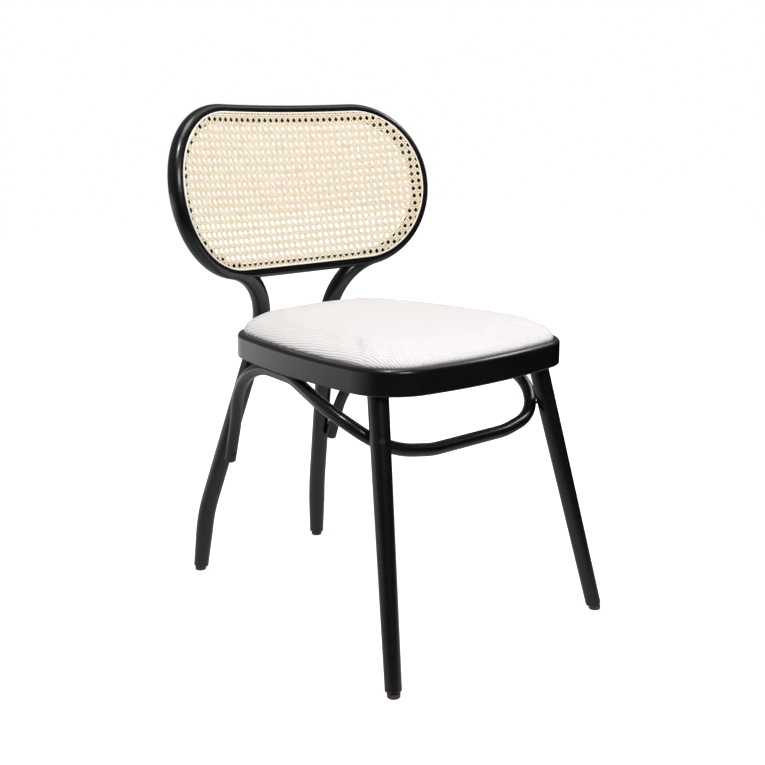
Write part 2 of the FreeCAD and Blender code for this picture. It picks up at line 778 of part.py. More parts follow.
def make_back(floor, tools):
    """Hoop, lower rail, dowels, cane sheet and reed."""
    raw = sweep("hoop_rod", rounded_edges(*hoop_corners()), "sizes.rod_diameter")
    space = space_ahead("front_space", flat_forward())
    groove = sweep("reed_groove", spline_edges(), "sizes.spline_diameter + 2 * sizes.reed_gap")
    reed = sweep("reed", spline_edges(), "sizes.spline_diameter")
    keep("cane_spline", reed)

    reach = size("rail_reach")
    low = -size("loop_half_height") - size("rail_drop")
    fore = flat_forward() + size("front_flat") - size("rail_diameter") / 2
    places = [on_loop(reach * step / 2, low, fore) for step in (-2, -1, 0, 1, 2)]
    rail_raw = sweep("rail_rod", rounded_edges(places, [size("back_bend")] * 5), "sizes.rail_diameter")

    middle = on_loop(size("dowel_side"), low, fore)
    along = (on_loop(size("dowel_side") + 1, low, fore) - middle).normalize()
    start = middle - along * (size("dowel_length") / 2)
    dowels = []
    dowel_holes = []
    for i, (point, way) in enumerate(both_sides(start, along)):
        dowels.append(cylinder(f"dowel_{i}", point, way, "sizes.dowel_diameter", "sizes.dowel_length"))
        width = "sizes.dowel_diameter + 2 * sizes.fit_gap"
        dowel_holes.append(cylinder(f"dowel_hole_{i}", point - way, way, width, "sizes.dowel_length + 2"))
    group = doc.addObject("Part::Compound", "rail_dowels")
    group.Links = dowels
    keep("rail_dowels", group)

    grooved = carved("grooved_rod", raw, [groove, space])
    keep("back_hoop", less("back_hoop", grooved, [foot_taper(), floor] + tools + dowel_holes))
    keep("lower_back_rail", less("lower_back_rail", rail_raw, [raw] + dowel_holes + [groove, space]))
    make_cane()
    return raw


def cane_openings(edge):
    """Middles of the openings that lie whole inside the cane's edge, along and up the bend."""
    half = size("opening_width") / 2
    straight = size("loop_half_width") - size("loop_half_height")
    radius = size("loop_half_height") - edge
    columns = round(size("opening_columns"))
    rows = round(size("opening_rows"))
    middles = []
    for column in range(columns):
        across = (2 * column + 1 - columns) * (size("loop_half_width") - edge) / columns
        for row in range(rows):
            up = (2 * row + 1 - rows) * radius / rows
            beyond = max(abs(across) + half - straight, 0)
            if math.hypot(beyond, abs(up) + half) < radius - size("opening_margin"):
                middles.append((across, up))
    return middles


def make_cane():
    """Thin bent sheet with a grid of openings that fills the loop up to the reed."""
    middle, upward, ahead = bend_frame()
    bend = size("back_bend")
    back = flat_forward() + size("fit_gap")
    front = back + size("cane_thickness")
    edge = size("spline_diameter") / 2 + size("reed_gap")
    flat_corners, radii = stadium(edge)

    def unbent(across, up):
        """Place on the flat plane that lies straight behind a place on the bent sheet."""
        return middle + Vector((bend - front) * math.sin(across / bend), 0, 0) + upward * up

    wires = [Part.Wire(rounded_loop([unbent(*corner) for corner in flat_corners], radii))]
    half = size("opening_width") / 2
    for across, up in cane_openings(edge):
        corners = [
            unbent(across + half * side, up + half * rise)
            for side, rise in ((-1, -1), (1, -1), (1, 1), (-1, 1), (-1, -1))
        ]
        wires.append(Part.makePolygon(corners))
    outline = Part.Face(wires, "Part::FaceMakerBullseye")
    prism = feature("cane_outline", outline.extrude(ahead * (bend / 4)))
    layer = less("cane_layer", space_ahead("cane_back", back), [space_ahead("cane_front", front)])
    plate = doc.addObject("Part::Common", "cane_plate")
    plate.Base = prism
    plate.Tool = layer
    keep("cane_panel", plate)


# Seat ring, corner blocks and front legs.

def make_ring(notches, tools):
    """Bent seat ring with a step for the pad, housed round the rear legs."""
    body = doc.addObject("PartDesign::Body", "ring_body")
    pad(body, "ring_blank", seat_geometry(0), "sizes.ring_bottom", "sizes.ring_height")
    doc.recompute()
    bottom = size("ring_bottom")
    top = bottom + size("ring_height")
    for level, alias in ((top, "ring_top_round"), (bottom, "ring_edge_round")):
        blank = body.Tip
        edges = [
            f"Edge{i}" for i, edge in enumerate(blank.Shape.Edges, start=1)
            if abs(edge.BoundBox.ZMin - level) + abs(edge.BoundBox.ZMax - level) < 0.01
        ]
        rounding = body.newObject("PartDesign::Fillet", alias)
        rounding.Base = (blank, edges)
        rounding.setExpression("Radius", f"sizes.{alias}")
        doc.recompute()
    level = "sizes.ring_bottom + sizes.ring_height"
    pocket(body, "ring_opening", seat_geometry(size("ring_width")), level, "sizes.ring_height + 1")
    pocket(body, "ring_step", seat_geometry(size("ring_lip")), level, "sizes.rabbet_depth")
    return keep("seat_ring", less("seat_ring", body, notches + tools))


def make_front_legs(floor, tools):
    """Turned, tapered front legs with tenons, cut level under the ring and over their glides."""
    top, slope = leg_axis()
    scale = slope.Length
    end = (size("ring_bottom") - size("glide_height")) * scale
    overrun = size("leg_top_diameter")
    wide = size("leg_top_diameter") / 2
    narrow = size("leg_foot_diameter") / 2
    bevel = size("foot_bevel")
    profile = (
        (0, overrun),
        (wide, overrun),
        (wide, 0),
        (narrow, bevel - end),
        (narrow - bevel, -end),
        (narrow - bevel, -end - overrun),
        (0, -end - overrun),
    )
    reach = 2 * size("rear_foot_back")
    above = doc.addObject("Part::Box", "above_ring_bottom")
    above.Length = above.Width = above.Height = 2 * reach
    above.Placement = Placement(Vector(-reach, -reach, size("ring_bottom") - size("fit_gap")), Rotation())
    legs = (("front_leg_left", top, slope), ("front_leg_right", mirrored(top), mirrored(slope)))
    for name, position, way in legs:
        body = turned_body(name + "_turned", profile)
        body.Placement = turned_to(position, way * -1)
        shaft = less(name + "_shaft", body, [above])
        foot = position + way.normalize() * size("leg_top_diameter")
        length = "sizes.tenon_length + sizes.leg_top_diameter"
        tenon = cylinder(name + "_tenon", foot, way * -1, "sizes.tenon_diameter", length)
        whole = doc.addObject("Part::Fuse", name + "_whole")
        whole.Base = shaft
        whole.Tool = tenon
        keep(name, less(name, whole, [floor] + tools))


def tenon_holes():
    """Sockets for the front legs' tenons."""
    top, slope = leg_axis()
    holes = []
    for i, (position, way) in enumerate(both_sides(top, slope)):
        start = position + way.normalize() * size("tenon_diameter")
        length = "sizes.tenon_length + sizes.tenon_diameter + sizes.fit_gap"
        hole = cylinder(f"tenon_hole_{i}", start, way * -1, "sizes.tenon_diameter + 2 * sizes.fit_gap", length)
        holes.append(hole)
    return holes


def make_corner_blocks(tools):
    """Blocks glued inside the ring's front corners round the tenons."""
    top = leg_axis()[0]
    for name, point in (("corner_block_left", top), ("corner_block_right", mirrored(top))):
        body = doc.addObject("PartDesign::Body", name + "_filling")
        inside = seat_geometry(size("ring_width") + size("fit_gap"))
        pad(body, name + "_pad", inside, "sizes.ring_bottom", "sizes.block_height")
        reach = cylinder(name + "_reach", point, Vector(0, 0, 1), "2 * sizes.block_reach", "sizes.ring_height")
        block = doc.addObject("Part::Common", name + "_block")
        block.Base = body
        block.Tool = reach
        keep(name, less(name, block, tools))


def make_brace(tools):
    """One bent rod: up from the rear legs, under the ring, and round inside the front legs."""
    rod = sweep("brace_rod", rounded_edges(*brace_corners()), "sizes.brace_diameter")
    doc.recompute()
    rounding = size("brace_end_round")
    lowest = rod.Shape.BoundBox.ZMin + size("brace_diameter")
    ends = [
        i for i, edge in enumerate(rod.Shape.Edges, start=1)
        if edge.isClosed() and edge.BoundBox.ZMax < lowest
    ]
    rod_ended = doc.addObject("Part::Fillet", "brace_ended")
    rod_ended.Base = rod
    rod_ended.Edges = [(i, rounding, rounding) for i in ends]
    return keep("leg_brace", less("leg_brace", rod_ended, tools))


# Seat pad: board, foam and cover.

def crown_heights():
    """Outline scales of the cushion's dome with their share of its height."""
    sharpness = 3.5
    fullness = 2.3
    scales = (1.0, 0.994, 0.98, 0.955, 0.915, 0.86, 0.79, 0.7, 0.59, 0.46, 0.31, 0.15)
    return [(scale, (1 - scale ** sharpness) ** (1 / fullness)) for scale in scales]


def dome(name, inset, skirt_bottom, shrink):
    """Crowned cushion form: a short skirt, then outlines that draw in as they rise."""
    base = size("ring_bottom") + size("ring_height")
    height = size("crown_height") - shrink
    sections = []
    for i, (scale, share) in enumerate(crown_heights()):
        wire = seat_wire(inset, base + share * height, scale)
        sections.append(feature(f"{name}_outline_{i}", wire))
    loft = doc.addObject("Part::Loft", name + "_crown")
    loft.Sections = sections
    loft.Solid = True
    loft.Ruled = True
    rise = Vector(0, 0, base - skirt_bottom)
    skirt = feature(name + "_skirt", Part.Face(seat_wire(inset, skirt_bottom)).extrude(rise))
    whole = doc.addObject("Part::Fuse", name)
    whole.Base = skirt
    whole.Tool = loft
    return whole


def make_pad(tools):
    """Seat board, foam and cover, resting on the ring's step."""
    step = size("ring_bottom") + size("ring_height") - size("rabbet_depth")
    cloth = size("cover_thickness")
    gap = size("soft_gap")
    cover_bottom = step + gap
    board_bottom = cover_bottom + cloth + gap
    foam_bottom = board_bottom + size("board_thickness") + gap
    outer = size("ring_lip") + gap
    inner = outer + cloth
    inside = inner + gap

    board = doc.addObject("PartDesign::Body", "board_body")
    lift = "sizes.ring_bottom + sizes.ring_height - sizes.rabbet_depth + sizes.cover_thickness + 2 * sizes.soft_gap"
    pad(board, "board_pad", seat_geometry(inside), lift, "sizes.board_thickness")
    keep("seat_board", less("seat_board", board, tools))

    keep("seat_foam", dome("seat_foam", inside, foam_bottom, cloth + gap))
    outside = dome("cover_outside", outer, cover_bottom, 0)
    hollow = dome("cover_inside", inner, cover_bottom + cloth, cloth)
    mouth = Part.Face(seat_wire(outer + size("hem_width"), cover_bottom - cloth))
    opening = feature("cover_mouth", mouth.extrude(Vector(0, 0, 3 * cloth)))
    keep("seat_cover", less("seat_cover", outside, [hollow, opening] + tools))


def build():
    """Build every sub-part."""
    nails = make_glides()
    bolts = rear_bolts()
    rear_screws = brace_end_screws()
    leg_screws = brace_leg_screws()
    ring_screws = brace_ring_screws()
    tenon_screws = leg_tenon_screws()
    pad_screws = screw_group("seat_pad_screws", pad_screw_places(), size("pad_screw_length"))
    sockets = tenon_holes()

    floor = floor_block()
    make_back(floor, [bolts, rear_screws, nails])
    housing = sweep("hoop_housing", rounded_edges(*hoop_corners()), "sizes.rod_diameter + 2 * sizes.fit_gap")
    make_ring([housing], [bolts, ring_screws, tenon_screws, pad_screws] + sockets)
    make_front_legs(floor, [leg_screws, tenon_screws, nails])
    make_corner_blocks([tenon_screws] + sockets)
    make_brace([rear_screws, leg_screws, ring_screws])
    make_pad([pad_screws])
    doc.recompute()


def check():
    """Stop on any failed object or unusable sub-part."""
    for item in doc.Objects:
        if "Invalid" in item.State or "Error" in item.State:
            raise RuntimeError(f"{item.Label} failed: {item.State}")
    for name, item in nodes.items():
        if item.Shape.isNull() or not item.Shape.isValid() or not item.Shape.Solids:
            raise RuntimeError(f"{name} has no valid solid")


def write():
    """Write each sub-part to its own file."""
    os.makedirs("parts", exist_ok=True)
    for name, item in nodes.items():
        item.Shape.exportStep(f"parts/{name}.step")
        box = item.Shape.BoundBox
        print(f"{name}: {len(item.Shape.Solids)} solid(s), {item.Shape.Volume / 1000:.1f} cm3, "
              f"x {box.XMin:.1f}..{box.XMax:.1f} y {box.YMin:.1f}..{box.YMax:.1f} z {box.ZMin:.1f}..{box.ZMax:.1f}")


build()
check()
write()
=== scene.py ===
"""Looks of the bentwood bistro chair: woven cane, upholstered seat, finishes and studio.

The rigid parts come from the shared frame and are only dressed here. The cane sheet, the reed round
it and the seat's cloth and filling are modelled in this file, in metres, +Z up, chair facing -Y.
"""
import logging
import math
from dataclasses import dataclass
from enum import Enum
from typing import Iterable, Sequence

import bmesh
import bpy
import numpy as np
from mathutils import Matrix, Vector


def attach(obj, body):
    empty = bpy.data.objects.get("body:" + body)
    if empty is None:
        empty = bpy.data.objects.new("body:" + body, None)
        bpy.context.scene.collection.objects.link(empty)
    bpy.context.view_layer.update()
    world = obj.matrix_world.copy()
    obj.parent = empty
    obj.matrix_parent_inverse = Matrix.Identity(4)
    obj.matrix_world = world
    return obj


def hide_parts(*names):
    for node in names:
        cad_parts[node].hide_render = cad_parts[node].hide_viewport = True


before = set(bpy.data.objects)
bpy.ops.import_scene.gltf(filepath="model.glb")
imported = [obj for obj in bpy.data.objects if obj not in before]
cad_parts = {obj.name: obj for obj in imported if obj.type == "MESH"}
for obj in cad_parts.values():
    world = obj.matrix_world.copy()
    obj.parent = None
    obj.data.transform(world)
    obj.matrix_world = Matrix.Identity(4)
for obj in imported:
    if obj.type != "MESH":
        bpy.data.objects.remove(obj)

LOG = logging.getLogger("bistro_chair")
BODY = "root"
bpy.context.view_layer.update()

# UV map of the cloth in metres: across along the cloth from the seat's middle, and Y
CLOTH_MAP = "cloth"
# Point attribute of the cane: 1 on a strand's two edges, less on its faces; it places painted shade along the
# edges
STRAND_EDGE_SHADE = "strand_rim"
STRAND_SIDES = 6
# Radius of a six-sided profile for each unit of its thickness, 1 / sqrt(3)
HEXAGON_RADIUS = 0.577
WHITE = (1.0, 1.0, 1.0, 1.0)
COOL_WHITE = (0.97, 0.98, 1.0, 1.0)

Color = tuple[float, float, float]
Place = tuple[float, float, float]
Span = tuple[float, float]
Socket = bpy.types.NodeSocket


class Slot(Enum):
    """Material slots of the record."""

    FRAME_WOOD = "frame_wood"
    INNER_WOOD = "inner_wood"
    CANE = "cane"
    REED = "reed"
    FOAM = "foam"
    SEAT_CLOTH = "seat_cloth"
    GLIDE_PLASTIC = "glide_plastic"
    STEEL = "steel"
    DARK_SCREW = "dark_screw"


Materials = dict[Slot, bpy.types.Material]


# Node helpers


def opaque(color: Color | Socket) -> object:
    """A colour with full alpha, or a socket as it is."""
    return color if isinstance(color, Socket) else (*color, 1)


class NodeWork:
    """A node tree under construction, with short calls for the nodes it needs."""

    def __init__(self, tree: bpy.types.NodeTree) -> None:
        """Empty a tree and start on it.

        Args:
            tree: the tree to fill.
        """
        self.tree = tree
        self.tree.nodes.clear()

    def node(self, kind: str, **values: object) -> bpy.types.Node:
        """Add a node, set its properties and feed its inputs.

        Args:
            kind: type name of the node.
            values: properties, and sockets or plain values of inputs, with _ for a space.

        Returns:
            The new node.
        """
        made = self.tree.nodes.new(kind)
        for key, value in values.items():
            if hasattr(made, key):
                setattr(made, key, value)
            else:
                self.feed(value, made.inputs[key.replace("_", " ")])
        return made

    def link(self, source: Socket, target: Socket) -> None:
        """Join two sockets."""
        self.tree.links.new(source, target)

    def feed(self, source: object, target: Socket) -> None:
        """Link a socket, or set a plain value.

        Args:
            source: socket, or value for the target.
            target: input that takes it.
        """
        if isinstance(source, Socket):
            self.link(source, target)
        else:
            target.default_value = source

    def math(self, operation: str, first: object, second: object = 0.0) -> Socket:
        """Add a sum.

        Args:
            operation: name of the sum.
            first: socket or number.
            second: socket or number.

        Returns:
            The result's socket.
        """
        made = self.node("ShaderNodeMath", operation=operation)
        self.feed(first, made.inputs[0])
        self.feed(second, made.inputs[1])
        return made.outputs[0]

    def vector_math(self, operation: str, first: object, second: object = None) -> Socket:
        """Add a sum of vectors.

        Args:
            operation: name of the sum.
            first: socket or plain vector.
            second: socket, plain vector or, to scale, a number, where the sum takes one.

        Returns:
            The result's socket.
        """
        made = self.node("ShaderNodeVectorMath", operation=operation)
        self.feed(first, made.inputs[0])
        if second is not None:
            self.feed(second, made.inputs["Scale" if operation == "SCALE" else 1])
        return made.outputs["Value" if operation in ("DOT_PRODUCT", "LENGTH") else "Vector"]

    def spread(self, value: Socket, low: float, high: float, start: float = 0.3, end: float = 0.7,
               curve: str = "LINEAR") -> Socket:
        """Map a value that runs from start to end onto low to high.

        Args:
            value: socket to map.
            low: result at start.
            high: result at end.
            start: where the result leaves low.
            end: where the result reaches high.
            curve: LINEAR, or SMOOTHSTEP for soft ends.

        Returns:
            The mapped value.
        """
        made = self.node("ShaderNodeMapRange", interpolation_type=curve, Value=value,
                         From_Min=start, From_Max=end, To_Min=low, To_Max=high)
        return made.outputs["Result"]

    def choose(self, share: Socket, first: Socket, second: Socket) -> Socket:
        """Mix two shaders.

        Args:
            share: socket with the second shader's share.
            first: shader where the share is 0.
            second: shader where the share is 1.

        Returns:
            The mixed shader.
        """
        made = self.node("ShaderNodeMixShader", Fac=share)
        self.link(first, made.inputs[1])
        self.link(second, made.inputs[2])
        return made.outputs["Shader"]


class Shading(NodeWork):
    """A material under construction around one Principled shader."""

    def __init__(self, name: str) -> None:
        """Start an empty node material.

        Args:
            name: name of the material.
        """
        self.material = bpy.data.materials.new(name)
        self.material.use_nodes = True
        super().__init__(self.material.node_tree)
        self.shader = self.node("ShaderNodeBsdfPrincipled")
        self.output = self.node("ShaderNodeOutputMaterial", Surface=self.shader.outputs["BSDF"])

    def skin(self, color: Color | Socket, roughness: float | Socket, **values: float) -> None:
        """Set the shader's colour, roughness and further inputs.

        Args:
            color: colour, or its socket.
            roughness: roughness, or its socket.
            values: numbers for other inputs, with _ for a space.
        """
        for key, value in {"Base_Color": opaque(color), "Roughness": roughness, **values}.items():
            self.feed(value, self.shader.inputs[key.replace("_", " ")])

    def place(self, scale: Place = (1, 1, 1)) -> Socket:
        """Object coordinates with a pattern's scale along each axis."""
        source = self.node("ShaderNodeTexCoord")
        return self.node("ShaderNodeMapping", Vector=source.outputs["Object"], Scale=scale).outputs["Vector"]

    def noise(self, where: Socket, scale: float, detail: float = 3.0, roughness: float = 0.5) -> Socket:
        """Noise at a place.

        Args:
            where: vector socket to read.
            scale: spots per metre.
            detail: octaves.
            roughness: strength of the finer octaves.

        Returns:
            The noise value, from 0 to 1.
        """
        made = self.node("ShaderNodeTexNoise", Vector=where, Scale=scale, Detail=detail, Roughness=roughness)
        return made.outputs["Fac"]

    def blend(self, share: Socket, first: Color | Socket, second: Color | Socket) -> Socket:
        """Mix two colours.

        Args:
            share: socket with the second colour's share.
            first: colour, or its socket, where the share is 0.
            second: colour, or its socket, where the share is 1.

        Returns:
            The mixed colour.
        """
        made = self.node("ShaderNodeMix", data_type="RGBA", Factor=share)
        targets = [socket for socket in made.inputs if socket.name in ("A", "B") and socket.type == "RGBA"]
        for socket, color in zip(targets, (first, second)):
            self.feed(opaque(color), socket)
        return next(socket for socket in made.outputs if socket.type == "RGBA")

    def bump(self, heights: Sequence[tuple[Socket, float]]) -> None:
        """Stack bumps on the shader's normal.

        Args:
            heights: pairs of a height socket and its height in metres.
        """
        normal = None
        for value, height in heights:
            made = self.node("ShaderNodeBump", Strength=1.0, Distance=height, Height=value)
            if normal is not None:
                self.link(normal, made.inputs["Normal"])
            normal = made.outputs["Normal"]
        self.link(normal, self.shader.inputs["Normal"])


# Finishes: pattern sizes are in spots per metre, reliefs in metres


@dataclass(frozen=True)
class Lacquer:
    """Satin black lacquer on bent beech: deep black, a little grain and orange peel."""

    name: str = "black_lacquer"
    deep: Color = (0.0022, 0.0024, 0.0029)
    worn: Color = (0.0042, 0.0045, 0.0052)
    roughness: Span = (0.27, 0.32)
    coat: float = 0.35
    coat_roughness: float = 0.12
    patches: float = 14
    peel: float = 900
    grain: float = 260
    grain_stretch: float = 0.35
    grain_relief: float = 0.00001
    peel_relief: float = 0.000008

    def build(self) -> bpy.types.Material:
        """Make the material.

        Returns:
            The finished material.
        """
        made = Shading(self.name)
        even = made.place()
        patches = made.noise(even, self.patches, detail=4)
        peel = made.noise(even, self.peel, detail=2)
        grain = made.noise(made.place((1, 1, self.grain_stretch)), self.grain, detail=4, roughness=0.6)
        made.skin(made.blend(made.spread(patches, 0, 1), self.deep, self.worn),
                  made.spread(grain, *self.roughness),
                  Coat_Weight=self.coat, Coat_Roughness=self.coat_roughness)
        made.bump(((grain, self.grain_relief), (peel, self.peel_relief)))
        return made.material


@dataclass(frozen=True)
class RawWood:
    """Unfinished beech and plywood under the seat."""

    name: str = "raw_beech"
    pale: Color = (0.52, 0.36, 0.22)
    dark: Color = (0.34, 0.215, 0.12)
    roughness: float = 0.62
    grain: float = 260
    grain_stretch: float = 0.06
    grain_edges: Span = (0.35, 0.7)
    flecks: float = 900
    fleck_stretch: float = 0.2
    grain_relief: float = 0.00008
    fleck_relief: float = 0.00003

    def build(self) -> bpy.types.Material:
        """Make the material.

        Returns:
            The finished material.
        """
        made = Shading(self.name)
        grain = made.noise(made.place((1, self.grain_stretch, 1)), self.grain, detail=5, roughness=0.6)
        flecks = made.noise(made.place((1, self.fleck_stretch, 1)), self.flecks, detail=2)
        made.skin(made.blend(made.spread(grain, 0, 1, *self.grain_edges), self.pale, self.dark),
                  self.roughness)
        made.bump(((grain, self.grain_relief), (flecks, self.fleck_relief)))
        return made.material


@dataclass(frozen=True)
class Straw:
    """Natural cane skin or reed: pale, slightly glossy, with spots, and darker edges that are painted shade
    between overlapping strands.
    """

    name: str
    pale: Color
    dark: Color
    # Darker colour on the strands' edges: painted shade between overlapping strands
    edge_shade: Color
    roughness: Span = (0.36, 0.52)
    patches: float = 170
    spots: float = 700
    spot_edges: Span = (0.22, 0.45)
    edge_shade_share: float = 0.8
    edge_shade_range: Span = (0.65, 1.0)
    relief: float = 0.00005

    def build(self) -> bpy.types.Material:
        """Make the material.

        Returns:
            The finished material.
        """
        made = Shading(self.name)
        even = made.place()
        patches = made.noise(even, self.patches, detail=2)
        spots = made.noise(even, self.spots, detail=3, roughness=0.7)
        spotted = made.spread(made.math("MULTIPLY", patches, spots), 0, 1, *self.spot_edges)
        edge = made.node("ShaderNodeAttribute", attribute_name=STRAND_EDGE_SHADE).outputs["Fac"]
        # Strand edges take the darker colour: painted shade between overlapping strands
        made.skin(made.blend(made.spread(edge, 0, self.edge_shade_share, *self.edge_shade_range),
                             made.blend(spotted, self.pale, self.dark), self.edge_shade),
                  made.spread(spots, *self.roughness))
        made.bump(((spots, self.relief),))
        return made.material


@dataclass(frozen=True)
class RibbedCloth:
    """Off-white upholstery cloth with fine ribs that run along the cloth; the grooves between ribs are
    painted darker as shade.
    """

    name: str = "ribbed_cloth"
    crest: Color = (0.86, 0.83, 0.825)
    # Darker colour in the grooves: painted shade between the ribs
    groove: Color = (0.67, 0.63, 0.625)
    groove_shade_share: float = 0.55
    rib_pitch: float = 0.0041
    rib_heading: float = -2.0
    rib_distortion: float = 0.2
    distortion_detail: float = 1.0
    distortion_scale: float = 0.4
    roughness: float = 0.85
    sheen: float = 0.15
    sheen_roughness: float = 0.5
    patches: float = 24
    threads: float = 1900
    patch_relief: float = 0.00015
    rib_relief: float = 0.0006
    thread_relief: float = 0.0001

    def build(self) -> bpy.types.Material:
        """Make the material.

        Returns:
            The finished material.
        """
        made = Shading(self.name)
        cloth = made.node("ShaderNodeUVMap", uv_map=CLOTH_MAP)
        turned = made.node("ShaderNodeMapping", Vector=cloth.outputs["UV"],
                           Rotation=(0, 0, math.radians(self.rib_heading)))
        # A wave texture of scale 1 has a period of pi / 10
        wave = made.node("ShaderNodeTexWave", wave_type="BANDS", bands_direction="X", wave_profile="SIN",
                         Vector=turned.outputs["Vector"], Scale=math.pi / (10 * self.rib_pitch),
                         Distortion=self.rib_distortion, Detail=self.distortion_detail,
                         Detail_Scale=self.distortion_scale)
        ribs = wave.outputs["Fac"]
        even = made.place()
        threads = made.noise(even, self.threads, detail=2)
        patches = made.noise(even, self.patches, detail=3)
        # Grooves take the darker colour: painted shade between the ribs
        made.skin(made.blend(made.spread(ribs, 0, 1, self.groove_shade_share, 0.0), self.crest, self.groove),
                  self.roughness, Sheen_Weight=self.sheen, Sheen_Roughness=self.sheen_roughness)
        made.bump(((patches, self.patch_relief), (ribs, self.rib_relief), (threads, self.thread_relief)))
        return made.material


@dataclass(frozen=True)
class Plain:
    """Plastic, foam, steel or blackened steel, with fine unevenness."""

    name: str
    first: Color
    second: Color
    roughness: Span
    metallic: float = 0.0
    spots: float = 300.0
    relief: float = 0.00003

    def build(self) -> bpy.types.Material:
        """Make the material.

        Returns:
            The finished material.
        """
        made = Shading(self.name)
        spots = made.noise(made.place(), self.spots)
        made.skin(made.blend(made.spread(spots, 0, 1), self.first, self.second),
                  made.spread(spots, *self.roughness), Metallic=self.metallic)
        made.bump(((spots, self.relief),))
        return made.material


def finishes() -> Materials:
    """Every finish of the chair.

    Returns:
        One material for each slot.
    """
    makers = {
        Slot.FRAME_WOOD: Lacquer(),
        Slot.INNER_WOOD: RawWood(),
        Slot.CANE: Straw("cane_skin", (0.98, 0.87, 0.665), (0.78, 0.59, 0.37), (0.47, 0.32, 0.17)),
        Slot.REED: Straw("reed_skin", (0.99, 0.94, 0.83), (0.93, 0.84, 0.68), (0.8, 0.66, 0.46)),
        Slot.FOAM: Plain("foam", (0.80, 0.76, 0.62), (0.70, 0.65, 0.5), (0.85, 0.95), spots=900),
        Slot.SEAT_CLOTH: RibbedCloth(),
        Slot.GLIDE_PLASTIC: Plain("brown_plastic", (0.05, 0.022, 0.016), (0.075, 0.035, 0.025), (0.38, 0.5)),
        Slot.STEEL: Plain("zinc", (0.56, 0.56, 0.55), (0.45, 0.45, 0.44), (0.3, 0.42), 1.0),
        Slot.DARK_SCREW: Plain("black_screw", (0.02, 0.02, 0.02), (0.035, 0.034, 0.033), (0.35, 0.5), 0.6),
    }
    return {slot: maker.build() for slot, maker in makers.items()}


# Mesh helpers


def mesh_object(name: str, points: np.ndarray, faces: Iterable[Sequence[int]]) -> bpy.types.Object:
    """Make a mesh object in the scene.

    Args:
        name: name of the piece.
        points: rows of coordinates in metres.
        faces: vertex numbers of each face.

    Returns:
        The new object.
    """
    mesh = bpy.data.meshes.new(name)
    mesh.from_pydata([tuple(map(float, point)) for point in points], [], [tuple(face) for face in faces])
    mesh.update()
    return shown(name, mesh)


def shown(name: str, data: bpy.types.ID) -> bpy.types.Object:
    """Put a mesh, lamp or camera into the scene as an object.

    Args:
        name: name of the object.
        data: what the object shows.

    Returns:
        The new object.
    """
    made = bpy.data.objects.new(name, data)
    bpy.context.scene.collection.objects.link(made)
    return made


def evaluated(piece: bpy.types.Object) -> bpy.types.Mesh:
    """A new mesh of a piece as its modifiers leave it."""
    graph = bpy.context.evaluated_depsgraph_get()
    return bpy.data.meshes.new_from_object(piece.evaluated_get(graph))


def vertex_places(mesh: bpy.types.Mesh) -> np.ndarray:
    """Places of a mesh's vertices.

    Args:
        mesh: the mesh to read.

    Returns:
        Rows of X, Y and Z.
    """
    flat = np.empty(len(mesh.vertices) * 3)
    mesh.vertices.foreach_get("co", flat)
    return flat.reshape(-1, 3)


def band_faces(rings: int, around: int, closed: bool) -> list[Sequence[int]]:
    """Faces between neighbouring rings of points.

    Args:
        rings: how many rings follow each other in the rows of points.
        around: points on each ring.
        closed: whether the last ring joins the first.

    Returns:
        Vertex numbers of each face.
    """
    faces: list[Sequence[int]] = []
    for ring in range(rings if closed else rings - 1):
        here, there = ring * around, (ring + 1) % rings * around
        for k in range(around):
            after = (k + 1) % around
            faces.append((here + k, here + after, there + after, there + k))
    return faces


def smooth(piece: bpy.types.Object) -> None:
    """Shade every face of a piece smoothly."""
    piece.data.polygons.foreach_set("use_smooth", [True] * len(piece.data.polygons))


def outward(piece: bpy.types.Object) -> None:
    """Turn every face of a closed piece outwards.

    Args:
        piece: the piece to turn.
    """
    work = bmesh.new()
    work.from_mesh(piece.data)
    bmesh.ops.recalc_face_normals(work, faces=work.faces)
    work.to_mesh(piece.data)
    work.free()


def joined(name: str, parts: Sequence[bpy.types.Object]) -> bpy.types.Object:
    """Join meshes into one piece.

    Args:
        name: name of the piece.
        parts: objects at the origin; they are used up.

    Returns:
        The joined object.
    """
    whole = bmesh.new()
    for part in parts:
        whole.from_mesh(part.data)
    mesh = bpy.data.meshes.new(name)
    whole.to_mesh(mesh)
    whole.free()
    for part in parts:
        bpy.data.objects.remove(part, do_unlink=True)
    made = shown(name, mesh)
    smooth(made)
    return made


def dress(piece: bpy.types.Object, slot: Slot, materials: Materials,
          stands_for: Sequence[str] = ()) -> bpy.types.Object:
    """Give a piece its finish and body, and hide the rigid nodes that it stands for.

    Args:
        piece: object of the piece.
        slot: slot of the finish.
        materials: all finishes.
        stands_for: nodes of the frame that the piece hides.

    Returns:
        The same piece.
    """
    piece.data.materials.clear()
    piece.data.materials.append(materials[slot])
    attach(piece, BODY)
    if stands_for:
        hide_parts(*stands_for)
    return piece


# Back loop


